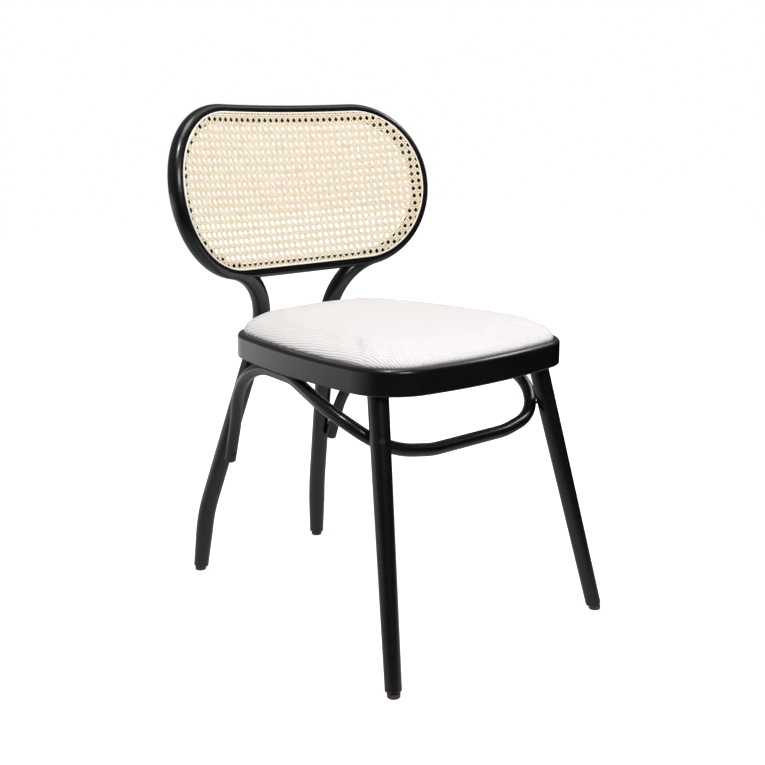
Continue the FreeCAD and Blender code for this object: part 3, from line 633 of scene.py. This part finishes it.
@dataclass
class LoopSurface:
    """The bent, leaning surface of the back, and the loop's outline on it."""

    middle_back: float = 0.188
    middle_height: float = 0.6635
    lean: float = math.radians(10.2)
    bend: float = 0.740
    half_width: float = 0.261
    half_height: float = 0.124
    flat_forward: float = 0.01255

    @property
    def straight(self) -> float:
        """Half the length of the loop's straight runs."""
        return self.half_width - self.half_height

    def point(self, across: np.ndarray, up: np.ndarray, forward: np.ndarray) -> np.ndarray:
        """Put flat places on the bent surface.

        Args:
            across: distance along the bend from the middle.
            up: distance up the lean from the middle.
            forward: distance towards the sitter from the rod's centre line.

        Returns:
            Rows of coordinates.
        """
        turn = across / self.bend
        side = (self.bend - forward) * np.sin(turn)
        ahead = self.bend - (self.bend - forward) * np.cos(turn)
        back = self.middle_back + up * math.sin(self.lean) - ahead * math.cos(self.lean)
        height = self.middle_height + up * math.cos(self.lean) + ahead * math.sin(self.lean)
        return np.stack((side, back, height), axis=-1)

    def outside(self, across: np.ndarray, up: np.ndarray) -> np.ndarray:
        """How far flat places lie outside the rod's centre line.

        Args:
            across: distance along the bend from the middle.
            up: distance up the lean from the middle.

        Returns:
            The distances, negative inside the loop.
        """
        beyond = np.maximum(np.abs(across) - self.straight, 0)
        return np.hypot(beyond, up) - self.half_height

    def outline(self, count: int) -> np.ndarray:
        """Flat places spaced evenly along the rod's centre line round the loop.

        Args:
            count: how many places.

        Returns:
            Rows of distance across and up.
        """
        radius = self.half_height
        arc = math.pi * radius
        run_length = 2 * self.straight
        places = []
        for k in range(count):
            run = (2 * run_length + 2 * arc) * k / count
            if run < arc:
                angle = run / radius - math.pi / 2
                places.append((self.straight + radius * math.cos(angle), radius * math.sin(angle)))
            elif run < arc + run_length:
                places.append((self.straight - (run - arc), radius))
            elif run < 2 * arc + run_length:
                angle = (run - arc - run_length) / radius + math.pi / 2
                places.append((-self.straight + radius * math.cos(angle), radius * math.sin(angle)))
            else:
                places.append((-self.straight + (run - 2 * arc - run_length), -radius))
        return np.array(places)


class Strand(Enum):
    """Families of strands in the weave."""

    UPRIGHT_A = (90.0, 1, (0.0, 1.0), math.pi, -1.0)
    UPRIGHT_B = (90.0, -1, (0.0, 1.0), math.pi, 1.0)
    LEVEL_A = (0.0, -1, (1.0, 0.0), math.pi, 1.0)
    LEVEL_B = (0.0, 1, (1.0, 0.0), math.pi, -1.0)
    RISING = (45.0, 0, (1.0, 0.0), -math.pi / 2, 1.0)
    FALLING = (-45.0, 0, (1.0, 0.0), math.pi / 2, 1.0)

    def __init__(self, heading: float, side: int, wave: Span, phase: float, sign: float) -> None:
        """Name the values of a family.

        Args:
            heading: direction of the strands in degrees.
            side: side of its pair on which a strand lies, 0 for a single one.
            wave: axes across and up along which the strand waves.
            phase: start of the wave in radians.
            sign: whether the wave starts forwards, 1, or backwards, -1.
        """
        self.heading = heading
        self.side = side
        self.wave = wave
        self.phase = phase
        self.sign = sign


class WeaveTree(NodeWork):
    """Geometry nodes that lay parallel flat strands and wave them over and under each other."""

    INPUTS = (
        ("Strands", "NodeSocketInt"),
        ("Spacing", "NodeSocketFloat"),
        ("Shift", "NodeSocketFloat"),
        ("Length", "NodeSocketFloat"),
        ("Steps", "NodeSocketInt"),
        ("Heading", "NodeSocketFloat"),
        ("Wave", "NodeSocketVector"),
        ("Phase", "NodeSocketFloat"),
        ("Swing", "NodeSocketFloat"),
        ("Width", "NodeSocketFloat"),
        ("Thickness", "NodeSocketFloat"),
        ("Wander", "NodeSocketFloat"),
        ("Finish", "NodeSocketMaterial"),
    )
    WANDER_SPOTS = 35.0

    def __init__(self) -> None:
        """Build the tree."""
        super().__init__(bpy.data.node_groups.new("cane_strands", "GeometryNodeTree"))
        face = self.tree.interface
        for name, kind in self.INPUTS:
            face.new_socket(name, in_out="INPUT", socket_type=kind)
        face.new_socket("Geometry", in_out="OUTPUT", socket_type="NodeSocketGeometry")
        self.value = self.node("NodeGroupInput").outputs
        self.node("NodeGroupOutput", Geometry=self.swept(self.waved(self.laid())))

    def vector(self, side: object, back: object, up: object) -> Socket:
        """Join three sockets or numbers to a vector."""
        return self.node("ShaderNodeCombineXYZ", X=side, Y=back, Z=up).outputs[0]

    def laid(self) -> Socket:
        """Straight curves side by side, turned to their heading.

        Returns:
            The curves' socket.
        """
        half = self.math("MULTIPLY", self.value["Length"], 0.5)
        line = self.node("GeometryNodeCurvePrimitiveLine", End=self.vector(half, 0.0, 0.0),
                         Start=self.vector(self.math("MULTIPLY", half, -1.0), 0.0, 0.0))
        fine = self.node("GeometryNodeResampleCurve", Curve=line.outputs["Curve"], Count=self.value["Steps"])
        gaps = self.math("SUBTRACT", self.value["Strands"], 1.0)
        reach = self.math("MULTIPLY", gaps, self.value["Spacing"])
        first = self.math("ADD", self.math("MULTIPLY", reach, -0.5), self.value["Shift"])
        row = self.node("GeometryNodeMeshLine", Count=self.value["Strands"],
                        Start_Location=self.vector(0.0, first, 0.0),
                        Offset=self.vector(0.0, self.value["Spacing"], 0.0))
        lay = self.node("GeometryNodeInstanceOnPoints", Points=row.outputs["Mesh"],
                        Instance=fine.outputs["Curve"])
        real = self.node("GeometryNodeRealizeInstances", Geometry=lay.outputs["Instances"])
        turn = self.node("GeometryNodeTransform", Geometry=real.outputs["Geometry"],
                         Rotation=self.vector(0.0, 0.0, self.value["Heading"]))
        return turn.outputs["Geometry"]

    def waved(self, curves: Socket) -> Socket:
        """Wave curves up and down and let them wander a little.

        Args:
            curves: socket of the flat curves.

        Returns:
            The moved curves' socket.
        """
        place = self.node("GeometryNodeInputPosition").outputs["Position"]
        along = self.vector_math("DOT_PRODUCT", place, self.value["Wave"])
        angle = self.math("ADD", along, self.value["Phase"])
        lift = self.math("MULTIPLY", self.math("SINE", angle), self.value["Swing"])
        drift = self.node("ShaderNodeTexNoise", Vector=place, Scale=self.WANDER_SPOTS)
        centred = self.vector_math("SUBTRACT", drift.outputs["Color"], (0.5, 0.5, 0.5))
        wander = self.vector_math("SCALE", centred, self.value["Wander"])
        move = self.node("GeometryNodeSetPosition", Geometry=curves,
                         Offset=self.vector_math("ADD", wander, self.vector(0.0, 0.0, lift)))
        upright = self.node("GeometryNodeSetCurveNormal", mode="Z_UP", Curve=move.outputs["Geometry"])
        return upright.outputs["Curve"]

    def swept(self, curves: Socket) -> Socket:
        """Give curves a flat six-sided body and the finish.

        Args:
            curves: socket of the curves.

        Returns:
            The realized mesh's socket.
        """
        profile = self.node("GeometryNodeCurvePrimitiveCircle", Resolution=STRAND_SIDES, Radius=1.0)
        size = self.vector(self.math("MULTIPLY", self.value["Width"], 0.5),
                           self.math("MULTIPLY", self.value["Thickness"], HEXAGON_RADIUS), 1.0)
        flat = self.node("GeometryNodeTransform", Geometry=profile.outputs["Curve"], Scale=size)
        body = self.node("GeometryNodeCurveToMesh", Curve=curves, Profile_Curve=flat.outputs["Geometry"],
                         Fill_Caps=True)
        real = self.node("GeometryNodeRealizeInstances", Geometry=body.outputs["Mesh"])
        paint = self.node("GeometryNodeSetMaterial", Geometry=real.outputs["Geometry"],
                          Material=self.value["Finish"])
        return paint.outputs["Geometry"]

    def run(self, name: str, values: dict[str, object]) -> bpy.types.Object:
        """Evaluate the tree into a plain mesh.

        Args:
            name: name of the new object.
            values: value of each named input.

        Returns:
            The new object, without modifiers.
        """
        carrier = mesh_object(name + "_carrier", np.zeros((1, 3)), [])
        maker = carrier.modifiers.new("weave", "NODES")
        maker.node_group = self.tree
        for item in self.tree.interface.items_tree:
            if item.item_type == "SOCKET" and item.in_out == "INPUT":
                maker[item.identifier] = values[item.name]
        made = shown(name, evaluated(carrier))
        bpy.data.objects.remove(carrier, do_unlink=True)
        return made


@dataclass
class CanePanel:
    """Half-inch chair cane in octagons: two uprights, two levels and two slanting strands a pitch."""

    surface: LoopSurface
    pitch: float = 0.0127
    pair_offset: float = 0.00152
    spare_strands: int = 4
    width: float = 0.0022
    slant_width: float = 0.0029
    thickness: float = 0.00056
    swing: float = 0.00042
    slant_swing: float = 0.00055
    forward: float = 0.01355
    wander: float = 0.0006
    drop_up: float = 0.0026
    step: float = 0.0017
    edge_inset: float = 0.0009
    edge_reach: float = 0.007
    edge_sink: float = 0.0007
    edge_wave: float = 0.35

    def strands(self, tree: WeaveTree, kind: Strand, finish: bpy.types.Material) -> bpy.types.Object:
        """Lay one family of strands flat, cut it to the loop and bend it on the surface.

        Args:
            tree: the tree that lays strands.
            kind: the family.
            finish: material of the strands.

        Returns:
            The family as one plain mesh.
        """
        wide, high = self.surface.half_width, self.surface.half_height
        slanting = kind.side == 0
        if slanting:
            spacing = self.pitch / math.sqrt(2)
            span = (wide + high) / math.sqrt(2)
            length = 2 * span
        else:
            spacing = self.pitch
            span, reach = (high, wide) if kind.heading == 0 else (wide, high)
            length = 2 * reach + self.pitch
        wave_number = 2 * math.pi / self.pitch
        made = tree.run("cane_" + kind.name.lower(), {
            "Strands": 2 * int(span / spacing) + self.spare_strands,
            "Spacing": spacing,
            "Shift": kind.side * self.pair_offset,
            "Length": length,
            "Steps": int(length / self.step),
            "Heading": math.radians(kind.heading),
            "Wave": (kind.wave[0] * wave_number, kind.wave[1] * wave_number, 0.0),
            "Phase": kind.phase,
            "Swing": kind.sign * (self.slant_swing if slanting else self.swing),
            "Width": self.slant_width if slanting else self.width,
            "Thickness": self.thickness,
            "Wander": self.wander,
            "Finish": finish,
        })
        self.fit(made)
        return made

    def fit(self, piece: bpy.types.Object) -> None:
        """Cut a flat family at the loop's edge and bend it on the surface.

        Args:
            piece: the family, changed in place.
        """
        mesh = piece.data
        flat = vertex_places(mesh)
        flat[:, 1] -= self.drop_up
        sides = np.arange(len(mesh.vertices)) % STRAND_SIDES
        # Where the painted shade along each strand's two edges goes
        edge_shade = np.abs(np.cos(sides * 2 * math.pi / STRAND_SIDES))
        mesh.attributes.new(STRAND_EDGE_SHADE, "FLOAT", "POINT").data.foreach_set("value", edge_shade)
        inside = -self.surface.outside(flat[:, 0], flat[:, 1])
        keep = inside > self.edge_inset
        free = np.clip(inside / self.edge_reach, 0, 1)
        free = free * free * (3 - 2 * free)
        wave = flat[:, 2] * (self.edge_wave + (1 - self.edge_wave) * free)
        height = self.forward - self.edge_sink * (1 - free) + wave
        bent = self.surface.point(flat[:, 0], flat[:, 1], height)
        mesh.vertices.foreach_set("co", bent.ravel())
        cut = bmesh.new()
        cut.from_mesh(mesh)
        cut.verts.ensure_lookup_table()
        bmesh.ops.delete(cut, geom=[v for v, stays in zip(cut.verts, keep) if not stays], context="VERTS")
        bmesh.ops.holes_fill(cut, edges=[e for e in cut.edges if e.is_boundary], sides=STRAND_SIDES)
        bmesh.ops.recalc_face_normals(cut, faces=cut.faces)
        cut.to_mesh(mesh)
        cut.free()
        smooth(piece)

    def build(self, materials: Materials) -> list[bpy.types.Object]:
        """Weave the panel.

        Args:
            materials: all finishes.

        Returns:
            The four pieces of the weave.
        """
        tree = WeaveTree()
        families = {kind: self.strands(tree, kind, materials[Slot.CANE]) for kind in Strand}
        made = []
        for name, kinds in (
            ("cane_uprights", (Strand.UPRIGHT_A, Strand.UPRIGHT_B)),
            ("cane_levels", (Strand.LEVEL_A, Strand.LEVEL_B)),
            ("cane_rising", (Strand.RISING,)),
            ("cane_falling", (Strand.FALLING,)),
        ):
            piece = joined(name, [families[kind] for kind in kinds])
            made.append(dress(piece, Slot.CANE, materials, ["cane_panel"]))
        return made


@dataclass
class Reed:
    """Round reed pressed into the groove over the cane's edge."""

    surface: LoopSurface
    diameter: float = 0.0030
    proud: float = 0.0011
    steps: int = 480
    sides: int = 14

    def build(self, materials: Materials) -> list[bpy.types.Object]:
        """Sweep the reed round the loop.

        Args:
            materials: all finishes.

        Returns:
            The reed.
        """
        across, up = self.surface.outline(self.steps).T
        forward = np.full(self.steps, self.surface.flat_forward + self.proud - self.diameter / 2)
        centre = self.surface.point(across, up, forward)
        a_little = 0.001
        ahead = self.surface.point(across, up, forward + a_little) - centre
        ahead /= np.linalg.norm(ahead, axis=1)[:, None]
        along = np.roll(centre, -1, axis=0) - np.roll(centre, 1, axis=0)
        along /= np.linalg.norm(along, axis=1)[:, None]
        sideways = np.cross(along, ahead)
        points = []
        for k in range(self.sides):
            angle = 2 * math.pi * k / self.sides
            points.append(centre + (ahead * math.cos(angle) + sideways * math.sin(angle)) * self.diameter / 2)
        made = mesh_object("cane_reed", np.stack(points, axis=1).reshape(-1, 3),
                           band_faces(self.steps, self.sides, closed=True))
        outward(made)
        smooth(made)
        return [dress(made, Slot.REED, materials, ["cane_spline"])]


# Seat


@dataclass
class SeatOutline:
    """Outline of the seat ring: five tangent arcs on each side, as in the part's source."""

    rear: float = 0.1785
    crown_back: float = -0.006
    radii: tuple[float, ...] = (0.685, 0.075, 1.136, 0.082)
    turns: tuple[float, ...] = (0.0, 8.9, 75.0, 90.3, 169.9, 180.0)
    arc_steps: int = 60

    def centres(self) -> list[Place]:
        """Arcs on the +X side, from the rear.

        Returns:
            X and Y of each centre, and the radius.
        """
        found = [(0.0, self.rear - self.radii[0], self.radii[0])]
        for before, after, turn in zip(self.radii, self.radii[1:], self.turns[1:]):
            x, y, _ = found[-1]
            angle, change = math.radians(turn), before - after
            found.append((x + math.sin(angle) * change, y + math.cos(angle) * change, after))
        x, y, radius = found[-1]
        angle = math.radians(self.turns[-2])
        reach = x / math.sin(math.pi - angle)
        found.append((x - math.sin(angle) * reach, y - math.cos(angle) * reach, radius + reach))
        return found

    def ring(self, inset: float, scale: float, count: int) -> np.ndarray:
        """Places evenly spaced round the outline.

        Args:
            inset: distance inside the ring's outer edge.
            scale: scale about the crown.
            count: how many places, an even number.

        Returns:
            Rows of X and Y.
        """
        path = []
        for (x, y, radius), start, end in zip(self.centres(), self.turns, self.turns[1:]):
            for share in np.linspace(0, 1, self.arc_steps, endpoint=False):
                angle = math.radians(start + (end - start) * share)
                path.append((x + math.sin(angle) * (radius - inset), y + math.cos(angle) * (radius - inset)))
        x, y, radius = self.centres()[-1]
        path.append((x, y - (radius - inset)))
        line = np.array(path)
        mirrored = np.stack((-line[-2:0:-1, 0], line[-2:0:-1, 1]), axis=1)
        whole = np.vstack((line, mirrored, line[:1]))
        run = np.concatenate(([0], np.cumsum(np.linalg.norm(np.diff(whole, axis=0), axis=1))))
        even = np.linspace(0, run[-1], count, endpoint=False)
        places = np.stack((np.interp(even, run, whole[:, 0]), np.interp(even, run, whole[:, 1])), axis=1)
        crown = np.array((0.0, self.crown_back))
        return crown + (places - crown) * scale


@dataclass
class SeatCushion:
    """Crowned seat: cloth drawn over foam, bulging over the ring's ledge and turned under the board.

    ring_top is measured from the floor, and the other heights and drops from ring_top.
    """

    outline: SeatOutline
    ring_top: float = 0.448
    around: int = 320

    # Form: foot inside the ring as steps from the lip and heights, round shoulder, crown
    lip: float = 0.0129
    foot: tuple[Span, ...] = ((0.0, -0.0085), (0.0, -0.004), (0.0, -0.0004), (-0.0016, 0.0004))
    bulge: float = 0.0046
    swell: float = 0.0065
    shoulder_start: float = -70.0
    shoulder_rings: int = 7
    crown: float = 0.0364
    sharpness: float = 3.2
    fullness: float = 1.85
    crown_rings: int = 34
    crown_spacing: float = 2.4

    # Cloth under pressure
    voxel: float = 0.004
    relax_from: float = 0.001
    relax_rounds: int = 4
    pinned_to: float = 0.003
    pressure: float = 4.0
    tension: float = 30.0
    bending: float = 8.0
    frames: int = 20
    cap: float = 0.003

    # Grid on which the length along the cloth is measured
    map_side: float = 0.22
    map_back: Span = (-0.3, 0.2)
    map_cells: tuple[int, int] = (441, 251)
    map_edge: int = 720

    # Cloth turned under the board
    cloth: float = 0.001
    turned_from: float = 0.007
    board_drop: float = 0.011
    board_gap: float = 0.0003
    turned_corner: float = 0.0006
    turned_reach: float = 0.018

    def crown_height(self, scale: np.ndarray) -> np.ndarray:
        """Height of the crown above the floor.

        Args:
            scale: scale of the outline about its highest point, from 0 to 1.

        Returns:
            The heights.
        """
        rise = (1 - np.minimum(scale, 1) ** self.sharpness) ** (1 / self.fullness)
        return self.ring_top + self.swell + (self.crown - self.swell) * rise

    def level(self, inset: float, height: float, scale: float = 1.0) -> np.ndarray:
        """One level ring of points round the seat.

        Args:
            inset: distance inside the ring's outer edge.
            height: height above the floor.
            scale: scale about the crown.

        Returns:
            Rows of X, Y and Z.
        """
        flat = self.outline.ring(inset, scale, self.around)
        return np.column_stack((flat, np.full(self.around, height)))

    def cloth_lengths(self) -> tuple[np.ndarray, np.ndarray, np.ndarray]:
        """Length along the cloth from the seat's middle line, over its +X half.

        Returns:
            X of the columns, Y of the rows and the grid of lengths.
        """
        crown_back = self.outline.crown_back
        edge = self.outline.ring(self.lip - self.bulge, 1.0, self.map_edge) - (0.0, crown_back)
        angles = np.arctan2(edge[:, 1], edge[:, 0])
        order = np.argsort(angles)
        angles, reach = angles[order], np.hypot(edge[:, 0], edge[:, 1])[order]
        xs = np.linspace(0, self.map_side, self.map_cells[0])
        ys = np.linspace(*self.map_back, self.map_cells[1])
        side, back = np.meshgrid(xs, ys - crown_back)
        scale = np.hypot(side, back) / np.interp(np.arctan2(back, side), angles, reach, period=2 * math.pi)
        drop = np.diff(self.crown_height(scale), axis=1)
        steps = np.hypot(drop, xs[1] - xs[0])
        return xs, ys, np.concatenate((np.zeros((len(ys), 1)), np.cumsum(steps, axis=1)), axis=1)

    def lay_cloth(self, piece: bpy.types.Object) -> None:
        """Give a piece the map of the cloth: metres along the cloth from the seat's middle, and Y.

        Args:
            piece: the cushion or its turned-under edge.
        """
        mesh = piece.data
        xs, ys, length = self.cloth_lengths()
        places = vertex_places(mesh)
        column = np.abs(places[:, 0]) / (xs[1] - xs[0])
        row = (places[:, 1] - ys[0]) / (ys[1] - ys[0])
        i, j = np.floor(row).astype(int), np.minimum(np.floor(column).astype(int), len(xs) - 2)
        down, along = row - i, column - j
        upper = length[i, j] * (1 - along) + length[i, j + 1] * along
        lower = length[i + 1, j] * (1 - along) + length[i + 1, j + 1] * along
        reached = upper * (1 - down) + lower * down
        facing_side = np.abs(np.array([vertex.normal.x for vertex in mesh.vertices]))
        below = np.maximum(self.ring_top + self.swell - places[:, 2], 0) * facing_side
        across = np.sign(places[:, 0]) * (reached + below)
        layer = mesh.uv_layers.new(name=CLOTH_MAP)
        corners = np.empty(len(mesh.loops), dtype=np.int32)
        mesh.loops.foreach_get("vertex_index", corners)
        layer.data.foreach_set("uv", np.column_stack((across, places[:, 1]))[corners].ravel())

    def dome(self) -> bpy.types.Object:
        """Closed crowned form that stands in the ring and swells over its ledge.

        Returns:
            The form as a piece without finish.
        """
        levels = [(self.lip + aside, height) for aside, height in self.foot]
        for angle in np.linspace(self.shoulder_start, 0, self.shoulder_rings):
            turn = math.radians(angle)
            levels.append((self.lip - self.bulge * math.cos(turn), self.swell * (1 + math.sin(turn))))
        rings = [self.level(inset, self.ring_top + height) for inset, height in levels]
        for share in np.linspace(0, 1, self.crown_rings)[1:-1]:
            scale = 1 - share ** self.crown_spacing
            rings.append(self.level(self.lip - self.bulge, self.crown_height(scale), scale))
        top_place = (0, self.outline.crown_back, self.ring_top + self.crown)
        low_place = (0, self.outline.crown_back, self.ring_top + self.foot[0][1])
        points = np.vstack(rings + [[top_place], [low_place]])
        faces = band_faces(len(rings), self.around, closed=False)
        top, bottom = len(points) - 2, len(points) - 1
        last = (len(rings) - 1) * self.around
        for k in range(self.around):
            after = (k + 1) % self.around
            faces.append((last + k, last + after, top))
            faces.append((after, k, bottom))
        made = mesh_object("seat_cushion", points, faces)
        outward(made)
        return made

    def relax(self, mesh: bpy.types.Mesh) -> None:
        """Even out the steps of a voxel mesh, except inside the ring.

        Args:
            mesh: the mesh, changed in place.
        """
        work = bmesh.new()
        work.from_mesh(mesh)
        free = [vertex for vertex in work.verts if vertex.co.z > self.ring_top + self.relax_from]
        for _ in range(self.relax_rounds):
            bmesh.ops.smooth_vert(work, verts=free, factor=0.5, use_axis_x=True, use_axis_y=True,
                                  use_axis_z=True)
        work.to_mesh(mesh)
        work.free()

    def inflate(self, piece: bpy.types.Object) -> None:
        """Press the cloth from inside, then take over its places within the cap.

        Args:
            piece: the dome, changed in place.
        """
        remesh = piece.modifiers.new("remesh", "REMESH")
        remesh.mode = "VOXEL"
        remesh.voxel_size = self.voxel
        mesh = evaluated(piece)
        piece.modifiers.clear()
        piece.data = mesh
        self.relax(mesh)
        rest = vertex_places(mesh)
        pins = piece.vertex_groups.new(name="pins")
        low = np.flatnonzero(rest[:, 2] < self.ring_top + self.pinned_to)
        pins.add(low.tolist(), 1.0, "REPLACE")
        settings = piece.modifiers.new("cloth", "CLOTH").settings
        settings.vertex_group_mass = "pins"
        settings.use_pressure = True
        settings.uniform_pressure_force = self.pressure
        settings.effector_weights.gravity = 0
        settings.tension_stiffness = self.tension
        settings.bending_stiffness = self.bending
        scene = bpy.context.scene
        for step in range(1, self.frames + 1):
            scene.frame_set(step)
        moved = vertex_places(evaluated(piece)) - rest
        far = np.linalg.norm(moved, axis=1)
        share = self.cap / np.maximum(far, self.cap)
        piece.modifiers.clear()
        piece.data = mesh
        mesh.vertices.foreach_set("co", (rest + moved * share[:, None]).ravel())
        mesh.update()
        scene.frame_set(1)
        LOG.info("cushion moved up to %.1f mm", far.max() * 1000)

    def wrap(self, materials: Materials) -> bpy.types.Object:
        """Cloth round the board's edge and turned under it.

        Args:
            materials: all finishes.

        Returns:
            The turned-under edge as a closed ring.
        """
        bottom = self.ring_top - self.board_drop + self.board_gap
        top = self.ring_top - self.turned_from
        profile = (
            (self.lip, top),
            (self.lip, bottom + self.cloth),
            (self.lip + self.turned_corner, bottom),
            (self.lip + self.turned_reach, bottom),
            (self.lip + self.turned_reach, bottom + self.cloth),
            (self.lip + self.cloth, bottom + self.cloth),
            (self.lip + self.cloth, top),
        )
        rings = [self.level(inset, height) for inset, height in profile]
        made = mesh_object("cover_turned_under", np.vstack(rings),
                           band_faces(len(rings), self.around, closed=True))
        outward(made)
        self.lay_cloth(made)
        smooth(made)
        return dress(made, Slot.SEAT_CLOTH, materials)

    def build(self, materials: Materials) -> list[bpy.types.Object]:
        """Make the cushion.

        Args:
            materials: all finishes.

        Returns:
            The cushion and its turned-under edge.
        """
        piece = self.dome()
        self.inflate(piece)
        self.lay_cloth(piece)
        smooth(piece)
        finer = piece.modifiers.new("finer", "SUBSURF")
        finer.levels = 1
        finer.render_levels = 1
        dress(piece, Slot.SEAT_CLOTH, materials, ["seat_cover", "seat_foam"])
        return [piece, self.wrap(materials)]


# Carried parts and studio


class CarriedParts:
    """The rigid nodes of the frame and their finishes."""

    SLOTS = {
        Slot.FRAME_WOOD: ("back_hoop", "lower_back_rail", "seat_ring", "front_leg_left", "front_leg_right",
                          "leg_brace"),
        Slot.INNER_WOOD: ("corner_block_left", "corner_block_right", "rail_dowels", "seat_board"),
        Slot.CANE: ("cane_panel",),
        Slot.REED: ("cane_spline",),
        Slot.FOAM: ("seat_foam",),
        Slot.SEAT_CLOTH: ("seat_cover",),
        Slot.GLIDE_PLASTIC: ("glide_front_left", "glide_front_right", "glide_rear_left", "glide_rear_right"),
        Slot.STEEL: ("glide_nails", "rear_leg_bolts", "bolt_washers", "bolt_nuts", "leg_tenon_screws",
                     "seat_pad_screws"),
        Slot.DARK_SCREW: ("brace_rear_screws", "brace_leg_screws", "brace_ring_screws"),
    }

    def dress(self, materials: Materials) -> None:
        """Give every node its finish.

        Args:
            materials: all finishes.
        """
        for slot, names in self.SLOTS.items():
            for name in names:
                mesh = bpy.data.objects[name].data
                mesh.materials.clear()
                mesh.materials.append(materials[slot])


@dataclass(frozen=True)
class Lamp:
    """A soft rectangular lamp: place, width and height in metres, and watts."""

    name: str
    place: Place
    size: Span
    power: float

    def build(self, target: Place) -> None:
        """Stand the lamp up and point it.

        Args:
            target: where it points.
        """
        light = bpy.data.lights.new(self.name, "AREA")
        light.shape = "RECTANGLE"
        light.size, light.size_y = self.size
        light.energy = self.power
        holder = shown(self.name, light)
        holder.location = self.place
        holder.rotation_euler = (Vector(target) - Vector(self.place)).to_track_quat("-Z", "Y").to_euler()


@dataclass
class Studio:
    """Pale floor, soft lamps and the photograph's camera.

    What is named mirrored shows in reflections only: a brightness at each end of a range of places.
    """

    camera_place: Place = (-1.33053, -1.43587, 0.79767)
    camera_turn: Place = (77.516, 0.0, -43.471)
    lens: float = 58.55
    sensor: float = 36.0
    seen_to: float = 100.0

    lamps: tuple[Lamp, ...] = (
        Lamp("key", (-1.15, -0.75, 3.2), (0.4, 0.4), 27),
        Lamp("front", (-0.9, -2.8, 2.3), (1.1, 0.8), 30),
        Lamp("side", (2.3, -0.4, 2.4), (1.4, 0.5), 16),
        Lamp("top", (0.0, 0.0, 3.0), (0.9, 0.9), 15),
    )
    lit_place: Place = (0.0, 0.0, 0.45)
    world_light: float = 0.50

    floor_reach: float = 6.0
    floor_color: Color = (0.9, 0.9, 0.9)
    floor_roughness: float = 0.9
    floor_glow: float = 0.82

    bright_side: Place = (-0.3, 0.95, 0.0)
    far_floor_mirrored: Span = (0.0, 1.15)
    far_floor_range: Span = (0.3, 2.4)
    near_floor_mirrored: Span = (0.5, 0.0)
    near_floor_range: Span = (0.3, 1.5)
    world_mirrored: Span = (0.02, 0.22)
    world_range: Span = (-0.3, 0.95)
    overhead_side: Place = (0.69, -0.05, 0.72)
    overhead_mirrored: Span = (0.0, 0.8)
    overhead_range: Span = (0.86, 0.96)

    def floor(self) -> None:
        """Lay the pale floor: white to the camera but for the chair's shadow, uneven in reflections."""
        reach = self.floor_reach
        corners = np.array([(-reach, -reach, 0), (reach, -reach, 0), (reach, reach, 0), (-reach, reach, 0)])
        ground = mesh_object("floor", corners, [(0, 1, 2, 3)])
        made = Shading("floor_paint")
        made.skin(self.floor_color, self.floor_roughness, Specular_IOR_Level=0.0)
        ray = made.node("ShaderNodeLightPath").outputs
        glow = made.node("ShaderNodeEmission", Color=WHITE,
                         Strength=made.math("MULTIPLY", ray["Is Camera Ray"], self.floor_glow))
        lit = made.node("ShaderNodeAddShader")
        made.link(made.shader.outputs["BSDF"], lit.inputs[0])
        made.link(glow.outputs["Emission"], lit.inputs[1])
        place = made.place()
        far = made.spread(made.vector_math("DOT_PRODUCT", place, self.bright_side),
                          *self.far_floor_mirrored, *self.far_floor_range)
        near = made.spread(made.vector_math("LENGTH", place), *self.near_floor_mirrored,
                           *self.near_floor_range)
        mirrored = made.node("ShaderNodeEmission", Color=WHITE, Strength=made.math("ADD", far, near))
        made.link(made.choose(ray["Is Glossy Ray"], lit.outputs["Shader"], mirrored.outputs["Emission"]),
                  made.output.inputs["Surface"])
        ground.data.materials.append(made.material)

    def world(self) -> None:
        """White background for the camera, softer light for the chair, dim walls in reflections."""
        world = bpy.data.worlds.new("studio")
        world.use_nodes = True
        made = NodeWork(world.node_tree)
        heading = made.node("ShaderNodeTexCoord").outputs["Generated"]
        walls = made.spread(made.vector_math("DOT_PRODUCT", heading, self.bright_side),
                            *self.world_mirrored, *self.world_range, curve="SMOOTHSTEP")
        overhead = made.spread(made.vector_math("DOT_PRODUCT", heading, self.overhead_side),
                               *self.overhead_mirrored, *self.overhead_range, curve="SMOOTHSTEP")
        light, mirrored, background = (
            made.node("ShaderNodeBackground", Color=color, Strength=strength).outputs["Background"]
            for color, strength in (
                (COOL_WHITE, self.world_light),
                (COOL_WHITE, made.math("ADD", walls, overhead)),
                (WHITE, 1.0),
            )
        )
        ray = made.node("ShaderNodeLightPath").outputs
        unseen = made.choose(ray["Is Glossy Ray"], light, mirrored)
        made.node("ShaderNodeOutputWorld", Surface=made.choose(ray["Is Camera Ray"], unseen, background))
        bpy.context.scene.world = world

    def camera(self) -> None:
        """Set the camera where the photograph was taken."""
        lens = bpy.data.cameras.new("camera")
        lens.lens = self.lens
        lens.sensor_width = self.sensor
        lens.clip_end = self.seen_to
        eye = shown("camera", lens)
        eye.location = self.camera_place
        eye.rotation_euler = tuple(math.radians(angle) for angle in self.camera_turn)
        bpy.context.scene.camera = eye

    def build(self) -> None:
        """Set up the studio."""
        self.floor()
        self.world()
        self.camera()
        for lamp in self.lamps:
            lamp.build(self.lit_place)
        bpy.context.scene.view_settings.view_transform = "Standard"


def main() -> None:
    """Build every piece, dress the carried parts and set up the studio."""
    logging.basicConfig(level=logging.INFO, format="%(message)s")
    materials = finishes()
    surface = LoopSurface()
    CarriedParts().dress(materials)
    for maker in (CanePanel(surface), Reed(surface), SeatCushion(SeatOutline())):
        for piece in maker.build(materials):
            LOG.info("%s: %s, %d faces", type(maker).__name__, piece.name, len(piece.data.polygons))
    Studio().build()


if __name__ == "__main__":
    main()
